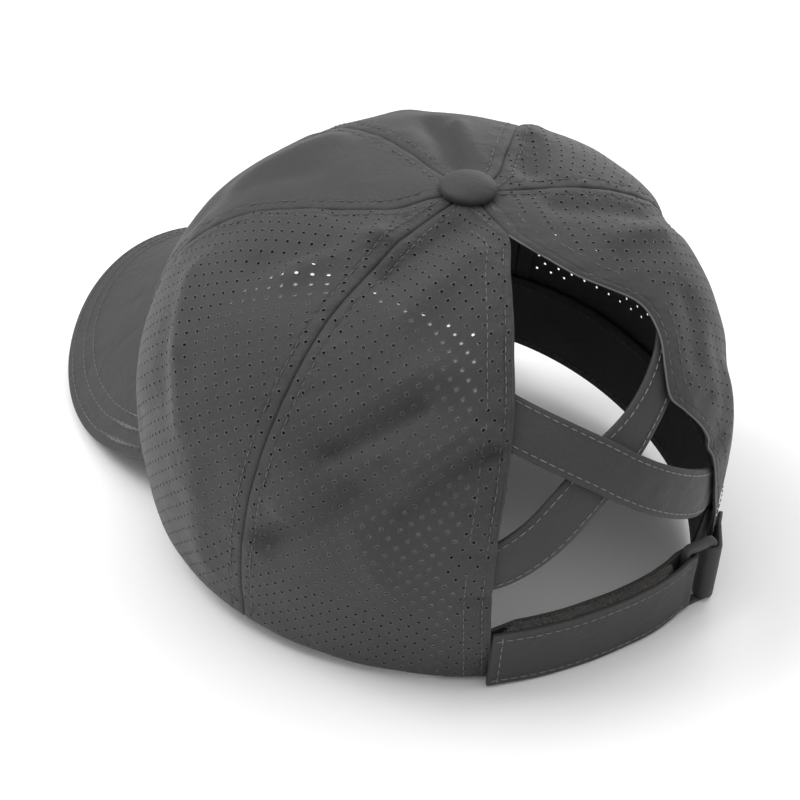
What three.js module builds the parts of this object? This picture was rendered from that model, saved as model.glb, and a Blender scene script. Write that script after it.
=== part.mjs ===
import * as THREE from "three";

// A ponytail cap: a six panel crown with a bent peak, a tall opening at the back, two straps
// crossing the opening, and an adjusting strap folded through a ring below it.
// Millimetres. Before it is laid down, the cap's own frame has +X to the wearer's left, +Y to the
// back and +Z up, with the hem at the back on z = 0. Azimuths are measured from the back towards
// the left, and rise is the angle up the crown, 0 at the hem and 90 under the button.

const BACK_RADIUS = 97.5;
const FRONT_RADIUS = 94.2;
const LEFT_RADIUS = 91.6;
const RIGHT_RADIUS = 80.5;
const CROWN_HEIGHT = 116.5;
const APEX_BACK = 8.8;
const HEIGHT_POWER = 0.97;

// How the crown closes in towards the top, and how far it swells past the hem, on each side.
const CROWN_SIDES = {
  back: { close: 0.76, swell: 0.144 },
  left: { close: 0.481, swell: 0.158 },
  front: { close: 0.564, swell: 0.056 },
  right: { close: 0.408, swell: 0.098 },
};

const WALL = 1.2;
const PANEL_GAP = 0.4;
const PANEL_PUFF = 1;
const PUFF_HEIGHT = 45;
const PANEL_ROWS = 19;
const PANEL_TOP_RADIUS = 5.6;

// The right rear corner of the hem stands out where the ring pulls on it.
const CORNER_FLARE = 3.4;
const CORNER_AZIMUTH = -27;
const CORNER_SPREAD = 13;
const CORNER_HEIGHT = 44;

const PEAK_HALF_ANGLE = 56.5;
const PEAK_REACH = 78;
const PEAK_ROUND = 2.45;
const PEAK_END_ROUND = 0.524;
const PEAK_SPREAD = 0.162;
const PEAK_ARCH = 44;
const PEAK_DIP = 21.9;
const PEAK_THICKNESS = 2.6;
const PEAK_CORNER_LIFT = 3.2;

const LEAN_BACK = 4.95;

const BAND_HEIGHT = 27;
const BAND_THICKNESS = 1.1;
const BAND_FROM = 37;
const BAND_TO = 318;

const CROSS_STRAP_THICKNESS = 1.2;
const CLOSURE_THICKNESS = 1.4;
const CLOSURE_WIDTH = 21;
const CLOSURE_LEAN = 1.2;
const LAYER_SPACING = 4.9;
const TAPE_THICKNESS = 1.1;
const TAPE_WIDTH = 19;

const RING_HEIGHT = 24;
const RING_CROSS_BAR = 1.1;
const RING_BAR = 1.6;
const RING_DEPTH = 2.4;
const RING_LEFT_X = -31.4;
const RING_RIGHT_X = -41;
const RING_Y = 91.9;
const RING_FOOT = -0.6;
const RING_STRAP_LOW = 0.9;

const TAB_CLEARANCE = 0.6;
const TAB_TURN = 147;

const BUTTON_RADIUS = 8.8;
const BUTTON_DOME = 4.4;

// Azimuth of each seam, in degrees, at heights up the crown.
const SEAMS = [
  { rise: 0, rearLeft: 74, frontLeft: 122, front: 179, frontRight: 237, rearRight: 284 },
  { rise: 15, rearLeft: 74, frontLeft: 125, front: 179, frontRight: 237, rearRight: 285 },
  { rise: 30, rearLeft: 73.4, frontLeft: 129, front: 179, frontRight: 237, rearRight: 286 },
  { rise: 45, rearLeft: 73, frontLeft: 128, front: 178.5, frontRight: 237, rearRight: 286 },
  { rise: 60, rearLeft: 72.2, frontLeft: 124.5, front: 178, frontRight: 237, rearRight: 286 },
  { rise: 66, rearLeft: 72.8, frontLeft: 122.5, front: 177.5, frontRight: 237, rearRight: 286.8 },
  { rise: 75, rearLeft: 75.4, frontLeft: 116, front: 177.5, frontRight: 238, rearRight: 288 },
  { rise: 82, rearLeft: 77.6, frontLeft: 115, front: 178, frontRight: 239, rearRight: 288 },
  { rise: 90, rearLeft: 72, frontLeft: 116, front: 179, frontRight: 239, rearRight: 289 },
];

// Azimuth of each edge of the rear opening. Above it the rear panels meet in a short seam.
const OPENING_TOP = 81.5;
const REAR_SEAM = 5;
const OPENING = [
  { rise: 0, openLeft: 25.2, openRight: 327.6 },
  { rise: 13, openLeft: 27.4, openRight: 328.2 },
  { rise: 20, openLeft: 28, openRight: 331.6 },
  { rise: 30, openLeft: 28, openRight: 335.5 },
  { rise: 45, openLeft: 26, openRight: 337.5 },
  { rise: 60, openLeft: 23.6, openRight: 338.5 },
  { rise: 70, openLeft: 20, openRight: 346.5 },
  { rise: 76, openLeft: 15.5, openRight: 353 },
  { rise: OPENING_TOP, openLeft: REAR_SEAM, openRight: 360 + REAR_SEAM },
];

// Folds of the cloth: straight runs from one place on the crown to another, pushed in or out.
const FOLDS = [
  { name: "rear left, low", from: [67.2, 20.3], to: [51.7, 36.5], width: 7, push: -2.6 },
  { name: "rear left, by the opening", from: [44.2, 30.5], to: [32.7, 43.6], width: 6, push: -2.4 },
  { name: "rear left, middle", from: [58.5, 40.5], to: [44.9, 52], width: 7, push: -2.2 },
  { name: "rear left, by the button", from: [63.2, 75.7], to: [38.1, 86.4], width: 5, push: -1.4 },
  { name: "side left, top", from: [87.8, 69.4], to: [80.7, 82.2], width: 6, push: 1.2 },
  { name: "side left, low", from: [88.3, 36.7], to: [88.2, 24], width: 9, push: 1.2 },
  { name: "front right, by the seam", from: [202.7, 75.6], to: [211, 87.5], width: 6, push: -2.2 },
  { name: "side right, by the button", from: [254, 82.9], to: [268, 87], width: 5, push: -1.8 },
  { name: "side right, low", from: [262, 30], to: [284, 52], width: 9, push: -2 },
  { name: "rear right, low", from: [300, 22], to: [318, 42], width: 8, push: -1.8 },
];

// Centre line of each cross strap from its left end to its right one. Inset is the depth of its
// outer face under the crown's surface.
const CROSS_STRAPS = {
  cross_strap_upper: {
    width: 17,
    rows: [
      { azimuth: 32, rise: 52.4, inset: 2.1 },
      { azimuth: 25, rise: 48.6, inset: 1.7 },
      { azimuth: 16, rise: 43.8, inset: 0.5 },
      { azimuth: 7.5, rise: 39, inset: 0.1 },
      { azimuth: -0.8, rise: 33.8, inset: 0 },
      { azimuth: -12.4, rise: 27.9, inset: 0.4 },
      { azimuth: -26, rise: 21.6, inset: 1.7 },
      { azimuth: -34, rise: 19, inset: 2.4 },
    ],
  },
  cross_strap_lower: {
    width: 15.6,
    rows: [
      { azimuth: 36, rise: 21.6, inset: 2.3 },
      { azimuth: 28, rise: 22.8, inset: 1.9 },
      { azimuth: 20.6, rise: 27, inset: 2 },
      { azimuth: 12.4, rise: 33.8, inset: 2.4 },
      { azimuth: 4, rise: 39.4, inset: 2.6 },
      { azimuth: -5.6, rise: 43.6, inset: 2.4 },
      { azimuth: -16, rise: 47.6, inset: 2.1 },
      { azimuth: -26, rise: 51, inset: 1.9 },
      { azimuth: -33, rise: 54, inset: 2.4 },
    ],
  },
};

// Outer face of the closure strap in plan, from its free end to the ring, and how far its lower
// edge is off the hem's level.
const CLOSURE_PATH = [
  { x: 39.4, y: 92.3, low: 0 },
  { x: 30, y: 95.2, low: 0 },
  { x: 20, y: 97.4, low: 0 },
  { x: 8, y: 98.7, low: 0 },
  { x: -4, y: 99.1, low: 0.1 },
  { x: -15, y: 98.6, low: 0.3 },
  { x: -24, y: 97, low: 0.6 },
  { x: -30, y: 95.2, low: RING_STRAP_LOW },
];

const CLOTH = { color: 0x4a4a4d, roughness: 0.78, metalness: 0 };
const CLOTH_INSIDE = { color: 0x2f3033, roughness: 0.85, metalness: 0 };
const TAPE = { color: 0x2e2925, roughness: 0.95, metalness: 0 };
const RING_PLASTIC = { color: 0x3c3d40, roughness: 0.5, metalness: 0 };

const rad = (degrees) => (degrees * Math.PI) / 180;
const clamp = (v, low, high) => Math.min(high, Math.max(low, v));
const smooth = (t) => {
  const c = clamp(t, 0, 1);
  return c * c * (3 - 2 * c);
};
const mix = (a, b, t) => a + (b - a) * t;

// Reads one column of a table as a smooth curve through its rows.
function along(rows, key, column, at) {
  const last = rows.length - 1;
  const x = clamp(at, rows[0][key], rows[last][key]);
  let i = 0;
  while (i < last - 1 && x > rows[i + 1][key]) {
    i += 1;
  }
  const slope = (k) => {
    const a = rows[Math.max(0, k - 1)];
    const b = rows[Math.min(last, k + 1)];
    return (b[column] - a[column]) / (b[key] - a[key]);
  };
  const step = rows[i + 1][key] - rows[i][key];
  const t = (x - rows[i][key]) / step;
  const t2 = t * t;
  const t3 = t2 * t;
  return (
    (2 * t3 - 3 * t2 + 1) * rows[i][column] +
    (t3 - 2 * t2 + t) * step * slope(i) +
    (3 * t2 - 2 * t3) * rows[i + 1][column] +
    (t3 - t2) * step * slope(i + 1)
  );
}

// A value round the cap from its values at the back, left, front and right.
function roundTheCap(azimuth, column) {
  const c = Math.cos(azimuth);
  const s = Math.sin(azimuth);
  const lengthwise = c > 0 ? CROWN_SIDES.back[column] : CROWN_SIDES.front[column];
  const sideways = s > 0 ? CROWN_SIDES.left[column] : CROWN_SIDES.right[column];
  return lengthwise * c * c + sideways * s * s;
}

const lengthRadius = (azimuth) => (Math.cos(azimuth) > 0 ? BACK_RADIUS : FRONT_RADIUS);
const sideRadius = (azimuth) => (Math.sin(azimuth) > 0 ? LEFT_RADIUS : RIGHT_RADIUS);

// Height of the bent peak's board over a place in plan, on the side that azimuth is on.
function boardHeight(x, y, azimuth) {
  const corner = Math.PI - rad(PEAK_HALF_ANGLE);
  const cornerX = sideRadius(azimuth) * Math.sin(corner);
  const cornerY = FRONT_RADIUS * Math.cos(corner);
  const arch = PEAK_ARCH * (1 - (x / cornerX) ** 2);
  return PEAK_CORNER_LIFT + arch - Math.tan(rad(PEAK_DIP)) * (cornerY - y);
}

// Height of the hem, which follows the peak's board in front.
function hemHeight(azimuth) {
  const turn = Math.abs(Math.atan2(Math.sin(azimuth), Math.cos(azimuth)));
  const corner = Math.PI - rad(PEAK_HALF_ANGLE);
  if (turn > corner) {
    const x = sideRadius(azimuth) * Math.sin(azimuth);
    const y = FRONT_RADIUS * Math.cos(azimuth);
    return boardHeight(x, y, azimuth);
  }
  const start = rad(70);
  return PEAK_CORNER_LIFT * smooth((turn - start) / (corner - start));
}

function baseCrown(azimuth, rise) {
  const lift = Math.sin(rise);
  const close = roundTheCap(azimuth, "close");
  const swell = roundTheCap(azimuth, "swell");
  const inward = Math.max(0, Math.cos(rise)) ** close * (1 + swell * Math.sin(2 * rise));
  const up = Math.max(0, lift) ** HEIGHT_POWER;
  return new THREE.Vector3(
    sideRadius(azimuth) * Math.sin(azimuth) * inward,
    lengthRadius(azimuth) * Math.cos(azimuth) * inward + APEX_BACK * up,
    hemHeight(azimuth) * (1 - up) + CROWN_HEIGHT * up
  );
}

function normalOf(surface, azimuth, rise) {
  const d = 2e-3;
  const low = Math.max(0, rise - d);
  const high = Math.min(Math.PI / 2 - 1e-4, rise + d);
  const round = surface(azimuth + d, rise).sub(surface(azimuth - d, rise));
  const upward = surface(azimuth, high).sub(surface(azimuth, low));
  return upward.cross(round).normalize();
}

function seamAzimuth(name, rise) {
  const degrees = (rise * 180) / Math.PI;
  const table = name.startsWith("open") ? OPENING : SEAMS;
  return rad(along(table, "rise", name, degrees));
}

// The six panels, each between two edges. The rear ones meet above the opening.
const PANELS = [
  { name: "panel_rear_left", from: "openLeft", to: "rearLeft", columns: 11 },
  { name: "panel_side_left", from: "rearLeft", to: "frontLeft", columns: 11 },
  { name: "panel_front_left", from: "frontLeft", to: "front", columns: 12 },
  { name: "panel_front_right", from: "front", to: "frontRight", columns: 12 },
  { name: "panel_side_right", from: "frontRight", to: "rearRight", columns: 11 },
  { name: "panel_rear_right", from: "rearRight", to: "openRight", columns: 11 },
];

const foldRuns = FOLDS.map((fold) => {
  const start = baseCrown(rad(fold.from[0]), rad(fold.from[1]));
  const end = baseCrown(rad(fold.to[0]), rad(fold.to[1]));
  return { line: new THREE.Line3(start, end), width: fold.width, push: fold.push };
});

function foldPush(point) {
  const nearest = new THREE.Vector3();
  let push = 0;
  for (const run of foldRuns) {
    run.line.closestPointToPoint(point, true, nearest);
    const d = nearest.distanceTo(point) / run.width;
    push += run.push * Math.exp(-d * d);
  }
  return push;
}

// Each panel puffs out a little between its seams.
function puff(azimuth, rise, point) {
  const full = 2 * Math.PI;
  const turn = ((azimuth % full) + full) % full;
  for (const panel of PANELS) {
    const from = seamAzimuth(panel.from, rise);
    const to = seamAzimuth(panel.to, rise);
    for (const t of [turn, turn + full]) {
      if (t >= from && t <= to) {
        const radius = Math.hypot(point.x, point.y - APEX_BACK);
        const share = Math.sin((Math.PI * (t - from)) / (to - from));
        return PANEL_PUFF * share * clamp(radius / 45, 0, 1) * smooth(point.z / PUFF_HEIGHT);
      }
    }
  }
  return 0;
}

function cornerFlare(azimuth, point) {
  const away = rad(CORNER_AZIMUTH) - Math.atan2(Math.sin(azimuth), Math.cos(azimuth));
  const d = away / rad(CORNER_SPREAD);
  return CORNER_FLARE * Math.exp(-d * d) * smooth(1 - point.z / CORNER_HEIGHT);
}

// The crown's outer surface with its folds, puffs and flared corner.
function skin(azimuth, rise) {
  const point = baseCrown(azimuth, rise);
  const out = normalOf(baseCrown, azimuth, rise);
  const push = foldPush(point) + puff(azimuth, rise, point) + cornerFlare(azimuth, point);
  return point.addScaledVector(out, push);
}

function inside(azimuth, rise, inset) {
  return skin(azimuth, rise).addScaledVector(normalOf(skin, azimuth, rise), -inset);
}

// A closed solid between two grids of points, one on each face of a sheet.
function sheetSolid(outer, inner) {
  const rows = outer.length;
  const columns = outer[0].length;
  const points = [];
  const index = [];
  const id = (face, i, j) => face * rows * columns + i * columns + j;
  for (const face of [outer, inner]) {
    for (const row of face) {
      for (const p of row) {
        points.push(p.x, p.y, p.z);
      }
    }
  }
  const quad = (a, b, c, d) => index.push(a, b, c, a, c, d);
  for (let i = 0; i + 1 < rows; i += 1) {
    for (let j = 0; j + 1 < columns; j += 1) {
      quad(id(0, i, j), id(0, i, j + 1), id(0, i + 1, j + 1), id(0, i + 1, j));
      quad(id(1, i, j), id(1, i + 1, j), id(1, i + 1, j + 1), id(1, i, j + 1));
    }
  }
  for (let j = 0; j + 1 < columns; j += 1) {
    quad(id(1, 0, j), id(1, 0, j + 1), id(0, 0, j + 1), id(0, 0, j));
    quad(id(0, rows - 1, j), id(0, rows - 1, j + 1), id(1, rows - 1, j + 1), id(1, rows - 1, j));
  }
  for (let i = 0; i + 1 < rows; i += 1) {
    quad(id(0, i, 0), id(0, i + 1, 0), id(1, i + 1, 0), id(1, i, 0));
    const e = columns - 1;
    quad(id(1, i, e), id(1, i + 1, e), id(0, i + 1, e), id(0, i, e));
  }
  const geometry = new THREE.BufferGeometry();
  geometry.setAttribute("position", new THREE.Float32BufferAttribute(points, 3));
  geometry.setIndex(index);
  return facingOut(geometry);
}

// Turns every face over if the solid's volume comes out negative.
function facingOut(geometry) {
  const position = geometry.getAttribute("position");
  const index = Array.from(geometry.getIndex().array);
  const a = new THREE.Vector3();
  const b = new THREE.Vector3();
  const c = new THREE.Vector3();
  let volume = 0;
  for (let k = 0; k < index.length; k += 3) {
    a.fromBufferAttribute(position, index[k]);
    b.fromBufferAttribute(position, index[k + 1]);
    c.fromBufferAttribute(position, index[k + 2]);
    volume += a.dot(b.cross(c));
  }
  if (volume < 0) {
    for (let k = 0; k < index.length; k += 3) {
      [index[k + 1], index[k + 2]] = [index[k + 2], index[k + 1]];
    }
    geometry.setIndex(index);
  }
  geometry.computeVertexNormals();
  return geometry;
}

// Rise at which the crown has closed in to the panels' top edge.
function topRise(azimuth) {
  const radius = Math.hypot(
    sideRadius(azimuth) * Math.sin(azimuth),
    lengthRadius(azimuth) * Math.cos(azimuth)
  );
  const close = roundTheCap(azimuth, "close");
  return Math.acos((PANEL_TOP_RADIUS / radius) ** (1 / close));
}

// Rows are spaced evenly over the cloth, although the top is nearly flat.
const riseAt = (t) => (Math.PI / 2) * (1 - (1 - t) ** 1.7);
const rowOfRise = (rise) => 1 - (1 - rise / (Math.PI / 2)) ** (1 / 1.7);

function crownPanel(panel) {
  const outer = [];
  const inner = [];
  for (let i = 0; i <= PANEL_ROWS; i += 1) {
    const outerRow = [];
    const innerRow = [];
    for (let j = 0; j <= panel.columns; j += 1) {
      const share = j / panel.columns;
      let rise = 0;
      let azimuth = 0;
      for (let pass = 0; pass < 3; pass += 1) {
        const from = seamAzimuth(panel.from, rise);
        const to = seamAzimuth(panel.to, rise);
        azimuth = mix(from, to, share);
        rise = riseAt((i / PANEL_ROWS) * rowOfRise(topRise(azimuth)));
      }
      const here = baseCrown(azimuth, rise);
      const radius = Math.hypot(here.x, here.y - APEX_BACK);
      const margin = PANEL_GAP / 2 / radius;
      azimuth += margin * (1 - 2 * share);
      outerRow.push(inside(azimuth, rise, 0));
      innerRow.push(inside(azimuth, rise, WALL));
    }
    outer.push(outerRow);
    inner.push(innerRow);
  }
  return sheetSolid(outer, inner);
}

// The peak is a board bent over the brow, its root against the hem.
function peak() {
  const across = 30;
  const steps = [0, 0.3, 0.6, 0.84, 0.96, 1];
  const thickness = [1, 1, 1, 1, 0.86, 0.45];
  const top = [];
  const under = [];
  steps.forEach((t, i) => {
    const topRow = [];
    const underRow = [];
    for (let j = 0; j <= across; j += 1) {
      const s = Math.sin((Math.PI / 2) * ((2 * j) / across - 1));
      const azimuth = Math.PI - s * rad(PEAK_HALF_ANGLE);
      const reach = 1.5 + PEAK_REACH * Math.max(0, 1 - Math.abs(s) ** PEAK_ROUND) ** PEAK_END_ROUND;
      const spread = PEAK_SPREAD * reach * Math.sign(s) * s * s;
      const root = skin(azimuth, 0);
      const out = normalOf(skin, azimuth, 0).setZ(0).normalize();
      root.addScaledVector(out, 0.4);
      const x = root.x + spread * t;
      const y = root.y - reach * t;
      const middle = new THREE.Vector3(x, y, boardHeight(x, y, azimuth) + PEAK_THICKNESS / 2);
      const cornerX = sideRadius(azimuth) * Math.sin(Math.PI - rad(PEAK_HALF_ANGLE));
      const slopeX = (2 * PEAK_ARCH * x) / cornerX ** 2;
      const up = new THREE.Vector3(slopeX, -Math.tan(rad(PEAK_DIP)), 1).normalize();
      const half = (PEAK_THICKNESS / 2) * thickness[i];
      const upright = i === 0 ? new THREE.Vector3(0, 0, 1) : up;
      topRow.push(middle.clone().addScaledVector(upright, half));
      underRow.push(middle.clone().addScaledVector(upright, -half));
    }
    top.push(topRow);
    under.push(underRow);
  });
  return sheetSolid(top, under);
}

function button() {
  const profile = [
    { radius: 0, height: -2.4 },
    { radius: 4.4, height: -2.4 },
    { radius: 4.4, height: 0.9 },
    { radius: BUTTON_RADIUS - 0.6, height: 1.0 },
    { radius: BUTTON_RADIUS, height: 1.7 },
    { radius: BUTTON_RADIUS - 0.3, height: 2.7 },
    { radius: BUTTON_RADIUS - 1.6, height: 3.8 },
    { radius: BUTTON_RADIUS - 4, height: 4.9 },
    { radius: BUTTON_RADIUS - 6.4, height: BUTTON_DOME + 1 },
    { radius: 0, height: BUTTON_DOME + 1.1 },
  ];
  const sides = 24;
  const points = [];
  const index = [];
  const rings = profile.slice(1, -1);
  points.push(0, APEX_BACK, CROWN_HEIGHT + profile[0].height);
  for (const ring of rings) {
    for (let k = 0; k < sides; k += 1) {
      const a = (2 * Math.PI * k) / sides;
      points.push(
        ring.radius * Math.cos(a),
        APEX_BACK + ring.radius * Math.sin(a),
        CROWN_HEIGHT + ring.height
      );
    }
  }
  points.push(0, APEX_BACK, CROWN_HEIGHT + profile[profile.length - 1].height);
  const last = points.length / 3 - 1;
  for (let k = 0; k < sides; k += 1) {
    const next = (k + 1) % sides;
    index.push(0, 1 + next, 1 + k);
    for (let r = 0; r + 1 < rings.length; r += 1) {
      const low = 1 + r * sides;
      const high = low + sides;
      index.push(low + k, low + next, high + next, low + k, high + next, high + k);
    }
    const top = 1 + (rings.length - 1) * sides;
    index.push(last, top + k, top + next);
  }
  const geometry = new THREE.BufferGeometry();
  geometry.setAttribute("position", new THREE.Float32BufferAttribute(points, 3));
  geometry.setIndex(index);
  return facingOut(geometry);
}

// Rise of a place a given height above the hem.
function riseOfHeight(azimuth, height) {
  const hem = hemHeight(azimuth);
  const up = clamp(height / (CROWN_HEIGHT - hem), 0, 1);
  return Math.asin(up ** (1 / HEIGHT_POWER));
}

function sweatband() {
  const columns = 52;
  const heights = [1, BAND_HEIGHT / 2, BAND_HEIGHT];
  const near = WALL + 0.5;
  const grid = (inset) =>
    heights.map((height) => {
      const row = [];
      for (let j = 0; j <= columns; j += 1) {
        const azimuth = rad(mix(BAND_FROM, BAND_TO, j / columns));
        row.push(inside(azimuth, riseOfHeight(azimuth, height), inset));
      }
      return row;
    });
  return sheetSolid(grid(near), grid(near + BAND_THICKNESS));
}

// A strap laid on the crown's surface along a centre line.
function crossStrap(strap) {
  const steps = 26;
  const rows = strap.rows.map((row, k) => ({ ...row, k }));
  const last = rows.length - 1;
  const centre = (t) => {
    const azimuth = rad(along(rows, "k", "azimuth", t));
    const rise = rad(along(rows, "k", "rise", t));
    return { azimuth, rise, inset: along(rows, "k", "inset", t) };
  };
  const base = (azimuth, rise) => {
    const point = baseCrown(azimuth, rise);
    const out = normalOf(baseCrown, azimuth, rise);
    return point.addScaledVector(out, cornerFlare(azimuth, point));
  };
  const outer = [[], [], []];
  const inner = [[], [], []];
  for (let i = 0; i <= steps; i += 1) {
    const t = (last * i) / steps;
    const here = centre(t);
    const before = centre(Math.max(0, t - 0.05));
    const after = centre(Math.min(last, t + 0.05));
    const point = base(here.azimuth, here.rise);
    const ahead = base(after.azimuth, after.rise).sub(base(before.azimuth, before.rise)).normalize();
    const out = normalOf(base, here.azimuth, here.rise);
    const across = out.clone().cross(ahead).normalize();
    [-1, 0, 1].forEach((side, k) => {
      const bow = side === 0 ? 0 : -0.9;
      const place = point.clone().addScaledVector(across, (side * strap.width) / 2);
      outer[k].push(place.clone().addScaledVector(out, bow - here.inset));
      inner[k].push(place.clone().addScaledVector(out, bow - here.inset - CROSS_STRAP_THICKNESS));
    });
  }
  return sheetSolid(outer, inner);
}

// The closure strap's layers in plan. Depth is measured inwards from the outer face.
function closurePoint(t, depth) {
  const rows = CLOSURE_PATH.map((row, k) => ({ ...row, k }));
  const at = (s) => new THREE.Vector2(along(rows, "k", "x", s), along(rows, "k", "y", s));
  const d = 0.02;
  const last = rows.length - 1;
  const ahead = at(Math.min(last, t + d)).sub(at(Math.max(0, t - d))).normalize();
  const out = new THREE.Vector2(ahead.y, -ahead.x);
  if (out.y < 0) {
    out.negate();
  }
  const p = at(t).addScaledVector(out, -depth);
  return { x: p.x, y: p.y, low: along(rows, "k", "low", t) };
}

// A ribbon standing on edge along a path in plan. Its foot runs through x, y and its head leans
// out from there by the path's own lean.
function standingRibbon(path, thickness, lift, height) {
  const outer = [[], []];
  const inner = [[], []];
  path.forEach((p, i) => {
    const a = path[Math.max(0, i - 1)];
    const b = path[Math.min(path.length - 1, i + 1)];
    const ahead = new THREE.Vector2(b.x - a.x, b.y - a.y).normalize();
    const out = new THREE.Vector2(ahead.y, -ahead.x);
    const leanX = p.leanX ?? 0;
    const leanY = p.leanY ?? CLOSURE_LEAN;
    [0, 1].forEach((level) => {
      const z = p.low + lift + level * height;
      const share = (lift + level * height) / CLOSURE_WIDTH;
      const x = p.x + leanX * share;
      const y = p.y + leanY * share;
      const half = thickness / 2;
      outer[level].push(new THREE.Vector3(x + out.x * half, y + out.y * half, z));
      inner[level].push(new THREE.Vector3(x - out.x * half, y - out.y * half, z));
    });
  });
  return sheetSolid(outer, inner);
}

// A place beside the hem for a ribbon's foot and head, a given depth inside the outer face.
function besideHem(azimuth, depth, low) {
  const foot = skin(azimuth, riseOfHeight(azimuth, low));
  const head = skin(azimuth, riseOfHeight(azimuth, low + CLOSURE_WIDTH));
  const out = normalOf(skin, azimuth, rad(5)).setZ(0).normalize();
  foot.addScaledVector(out, -depth);
  head.addScaledVector(out, -depth);
  return { x: foot.x, y: foot.y, low, leanX: head.x - foot.x, leanY: head.y - foot.y };
}

// The strap comes out of the left panel, folds round the ring's left bar and runs back.
function closureStrap() {
  const path = [];
  const half = CLOSURE_THICKNESS / 2;
  const last = CLOSURE_PATH.length - 1;
  const steps = 12;
  const turn = LAYER_SPACING / 2;
  for (const azimuth of [34, 30.5, 27]) {
    path.push(besideHem(rad(azimuth), WALL + 0.6 + half, 0));
  }
  for (let i = 1; i <= steps; i += 1) {
    path.push(closurePoint((last * i) / steps, half + LAYER_SPACING));
  }
  for (let k = 0; k <= 6; k += 1) {
    const a = -Math.PI / 2 - (Math.PI * k) / 6;
    path.push({ x: RING_LEFT_X + turn * Math.cos(a), y: RING_Y + turn * Math.sin(a), low: RING_STRAP_LOW });
  }
  for (let i = steps; i >= 0; i -= 1) {
    path.push(closurePoint((last * i) / steps, half));
  }
  return standingRibbon(path, CLOSURE_THICKNESS, 0, CLOSURE_WIDTH);
}

function tape(depth, from, to) {
  const path = [];
  const last = CLOSURE_PATH.length - 1;
  const steps = 12;
  for (let i = 0; i <= steps; i += 1) {
    path.push(closurePoint(last * mix(from, to, i / steps), depth));
  }
  return standingRibbon(path, TAPE_THICKNESS, (CLOSURE_WIDTH - TAPE_WIDTH) / 2, TAPE_WIDTH);
}

// A rounded frame standing on edge, its two upright bars held by the strap and the tab.
function strapRing() {
  const rounded = (width, height, radius) => {
    const shape = new THREE.Shape();
    const x = width / 2;
    const y = height / 2;
    shape.moveTo(-x + radius, -y);
    shape.lineTo(x - radius, -y);
    shape.absarc(x - radius, -y + radius, radius, -Math.PI / 2, 0, false);
    shape.lineTo(x, y - radius);
    shape.absarc(x - radius, y - radius, radius, 0, Math.PI / 2, false);
    shape.lineTo(-x + radius, y);
    shape.absarc(-x + radius, y - radius, radius, Math.PI / 2, Math.PI, false);
    shape.lineTo(-x, -y + radius);
    shape.absarc(-x + radius, -y + radius, radius, Math.PI, 1.5 * Math.PI, false);
    return shape;
  };
  const outline = rounded(RING_LEFT_X - RING_RIGHT_X + RING_BAR, RING_HEIGHT, 1.6);
  outline.holes.push(rounded(RING_LEFT_X - RING_RIGHT_X - RING_BAR, RING_HEIGHT - 2 * RING_CROSS_BAR, 0.4));
  const geometry = new THREE.ExtrudeGeometry(outline, {
    depth: RING_DEPTH,
    bevelEnabled: false,
    curveSegments: 3,
  });
  geometry.translate(0, 0, -RING_DEPTH / 2);
  const lean = Math.atan(CLOSURE_LEAN / CLOSURE_WIDTH);
  geometry.rotateX(Math.PI / 2 - lean);
  const x = (RING_LEFT_X + RING_RIGHT_X) / 2;
  const height = RING_HEIGHT / 2 + RING_FOOT;
  geometry.translate(x, RING_Y + (height - RING_STRAP_LOW) * Math.tan(lean), height);
  return geometry;
}

// The tab folds round the ring's right bar, one layer outside the hem and one inside it.
function ringTab() {
  const half = CLOSURE_THICKNESS / 2;
  const turn = LAYER_SPACING / 2;
  const path = [];
  const stations = [rad(321.5), rad(325)];
  for (const azimuth of stations) {
    path.push(besideHem(azimuth, -(TAB_CLEARANCE + half), RING_STRAP_LOW));
  }
  for (let k = 0; k <= 6; k += 1) {
    const a = rad(TAB_TURN) - (Math.PI * k) / 6;
    const x = RING_RIGHT_X + turn * Math.cos(a);
    path.push({ x, y: RING_Y + turn * Math.sin(a), low: RING_STRAP_LOW });
  }
  for (const azimuth of [rad(328.6), ...stations.slice().reverse()]) {
    path.push(besideHem(azimuth, WALL + TAB_CLEARANCE + half, RING_STRAP_LOW));
  }
  return standingRibbon(path, CLOSURE_THICKNESS, 0, CLOSURE_WIDTH);
}

const group = new THREE.Group();
group.name = "ponytail_cap";

function add(name, geometry, look) {
  const mesh = new THREE.Mesh(geometry, new THREE.MeshStandardMaterial(look));
  mesh.name = name;
  mesh.material.name = name;
  group.add(mesh);
}

for (const panel of PANELS) {
  add(panel.name, crownPanel(panel), CLOTH);
}
add("peak", peak(), CLOTH);
add("button", button(), CLOTH);
add("sweatband", sweatband(), CLOTH_INSIDE);
for (const [name, strap] of Object.entries(CROSS_STRAPS)) {
  add(name, crossStrap(strap), CLOTH);
}
add("closure_strap", closureStrap(), CLOTH);
add("hook_tape", tape(CLOSURE_THICKNESS + 0.35 + TAPE_THICKNESS / 2, 0.03, 0.8), TAPE);
add("loop_tape", tape(LAYER_SPACING - 0.35 - TAPE_THICKNESS / 2, 0.06, 0.86), TAPE);
add("strap_ring", strapRing(), RING_PLASTIC);
add("ring_tab", ringTab(), CLOTH);

// Lays the cap down as it rests, leaning back on its rear hem with the peak's edges on the
// ground, and centres it over the origin.
const lay = new THREE.Matrix4()
  .makeTranslation(0, BACK_RADIUS, 0)
  .multiply(new THREE.Matrix4().makeRotationX(-rad(LEAN_BACK)))
  .multiply(new THREE.Matrix4().makeTranslation(0, -BACK_RADIUS, 0));
const box = new THREE.Box3();
for (const mesh of group.children) {
  mesh.geometry.applyMatrix4(lay);
  mesh.geometry.computeBoundingBox();
  box.union(mesh.geometry.boundingBox);
}
const middle = box.getCenter(new THREE.Vector3());
for (const mesh of group.children) {
  mesh.geometry.translate(-middle.x, -middle.y, -box.min.z);
}

export default group;
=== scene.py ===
import math

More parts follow.
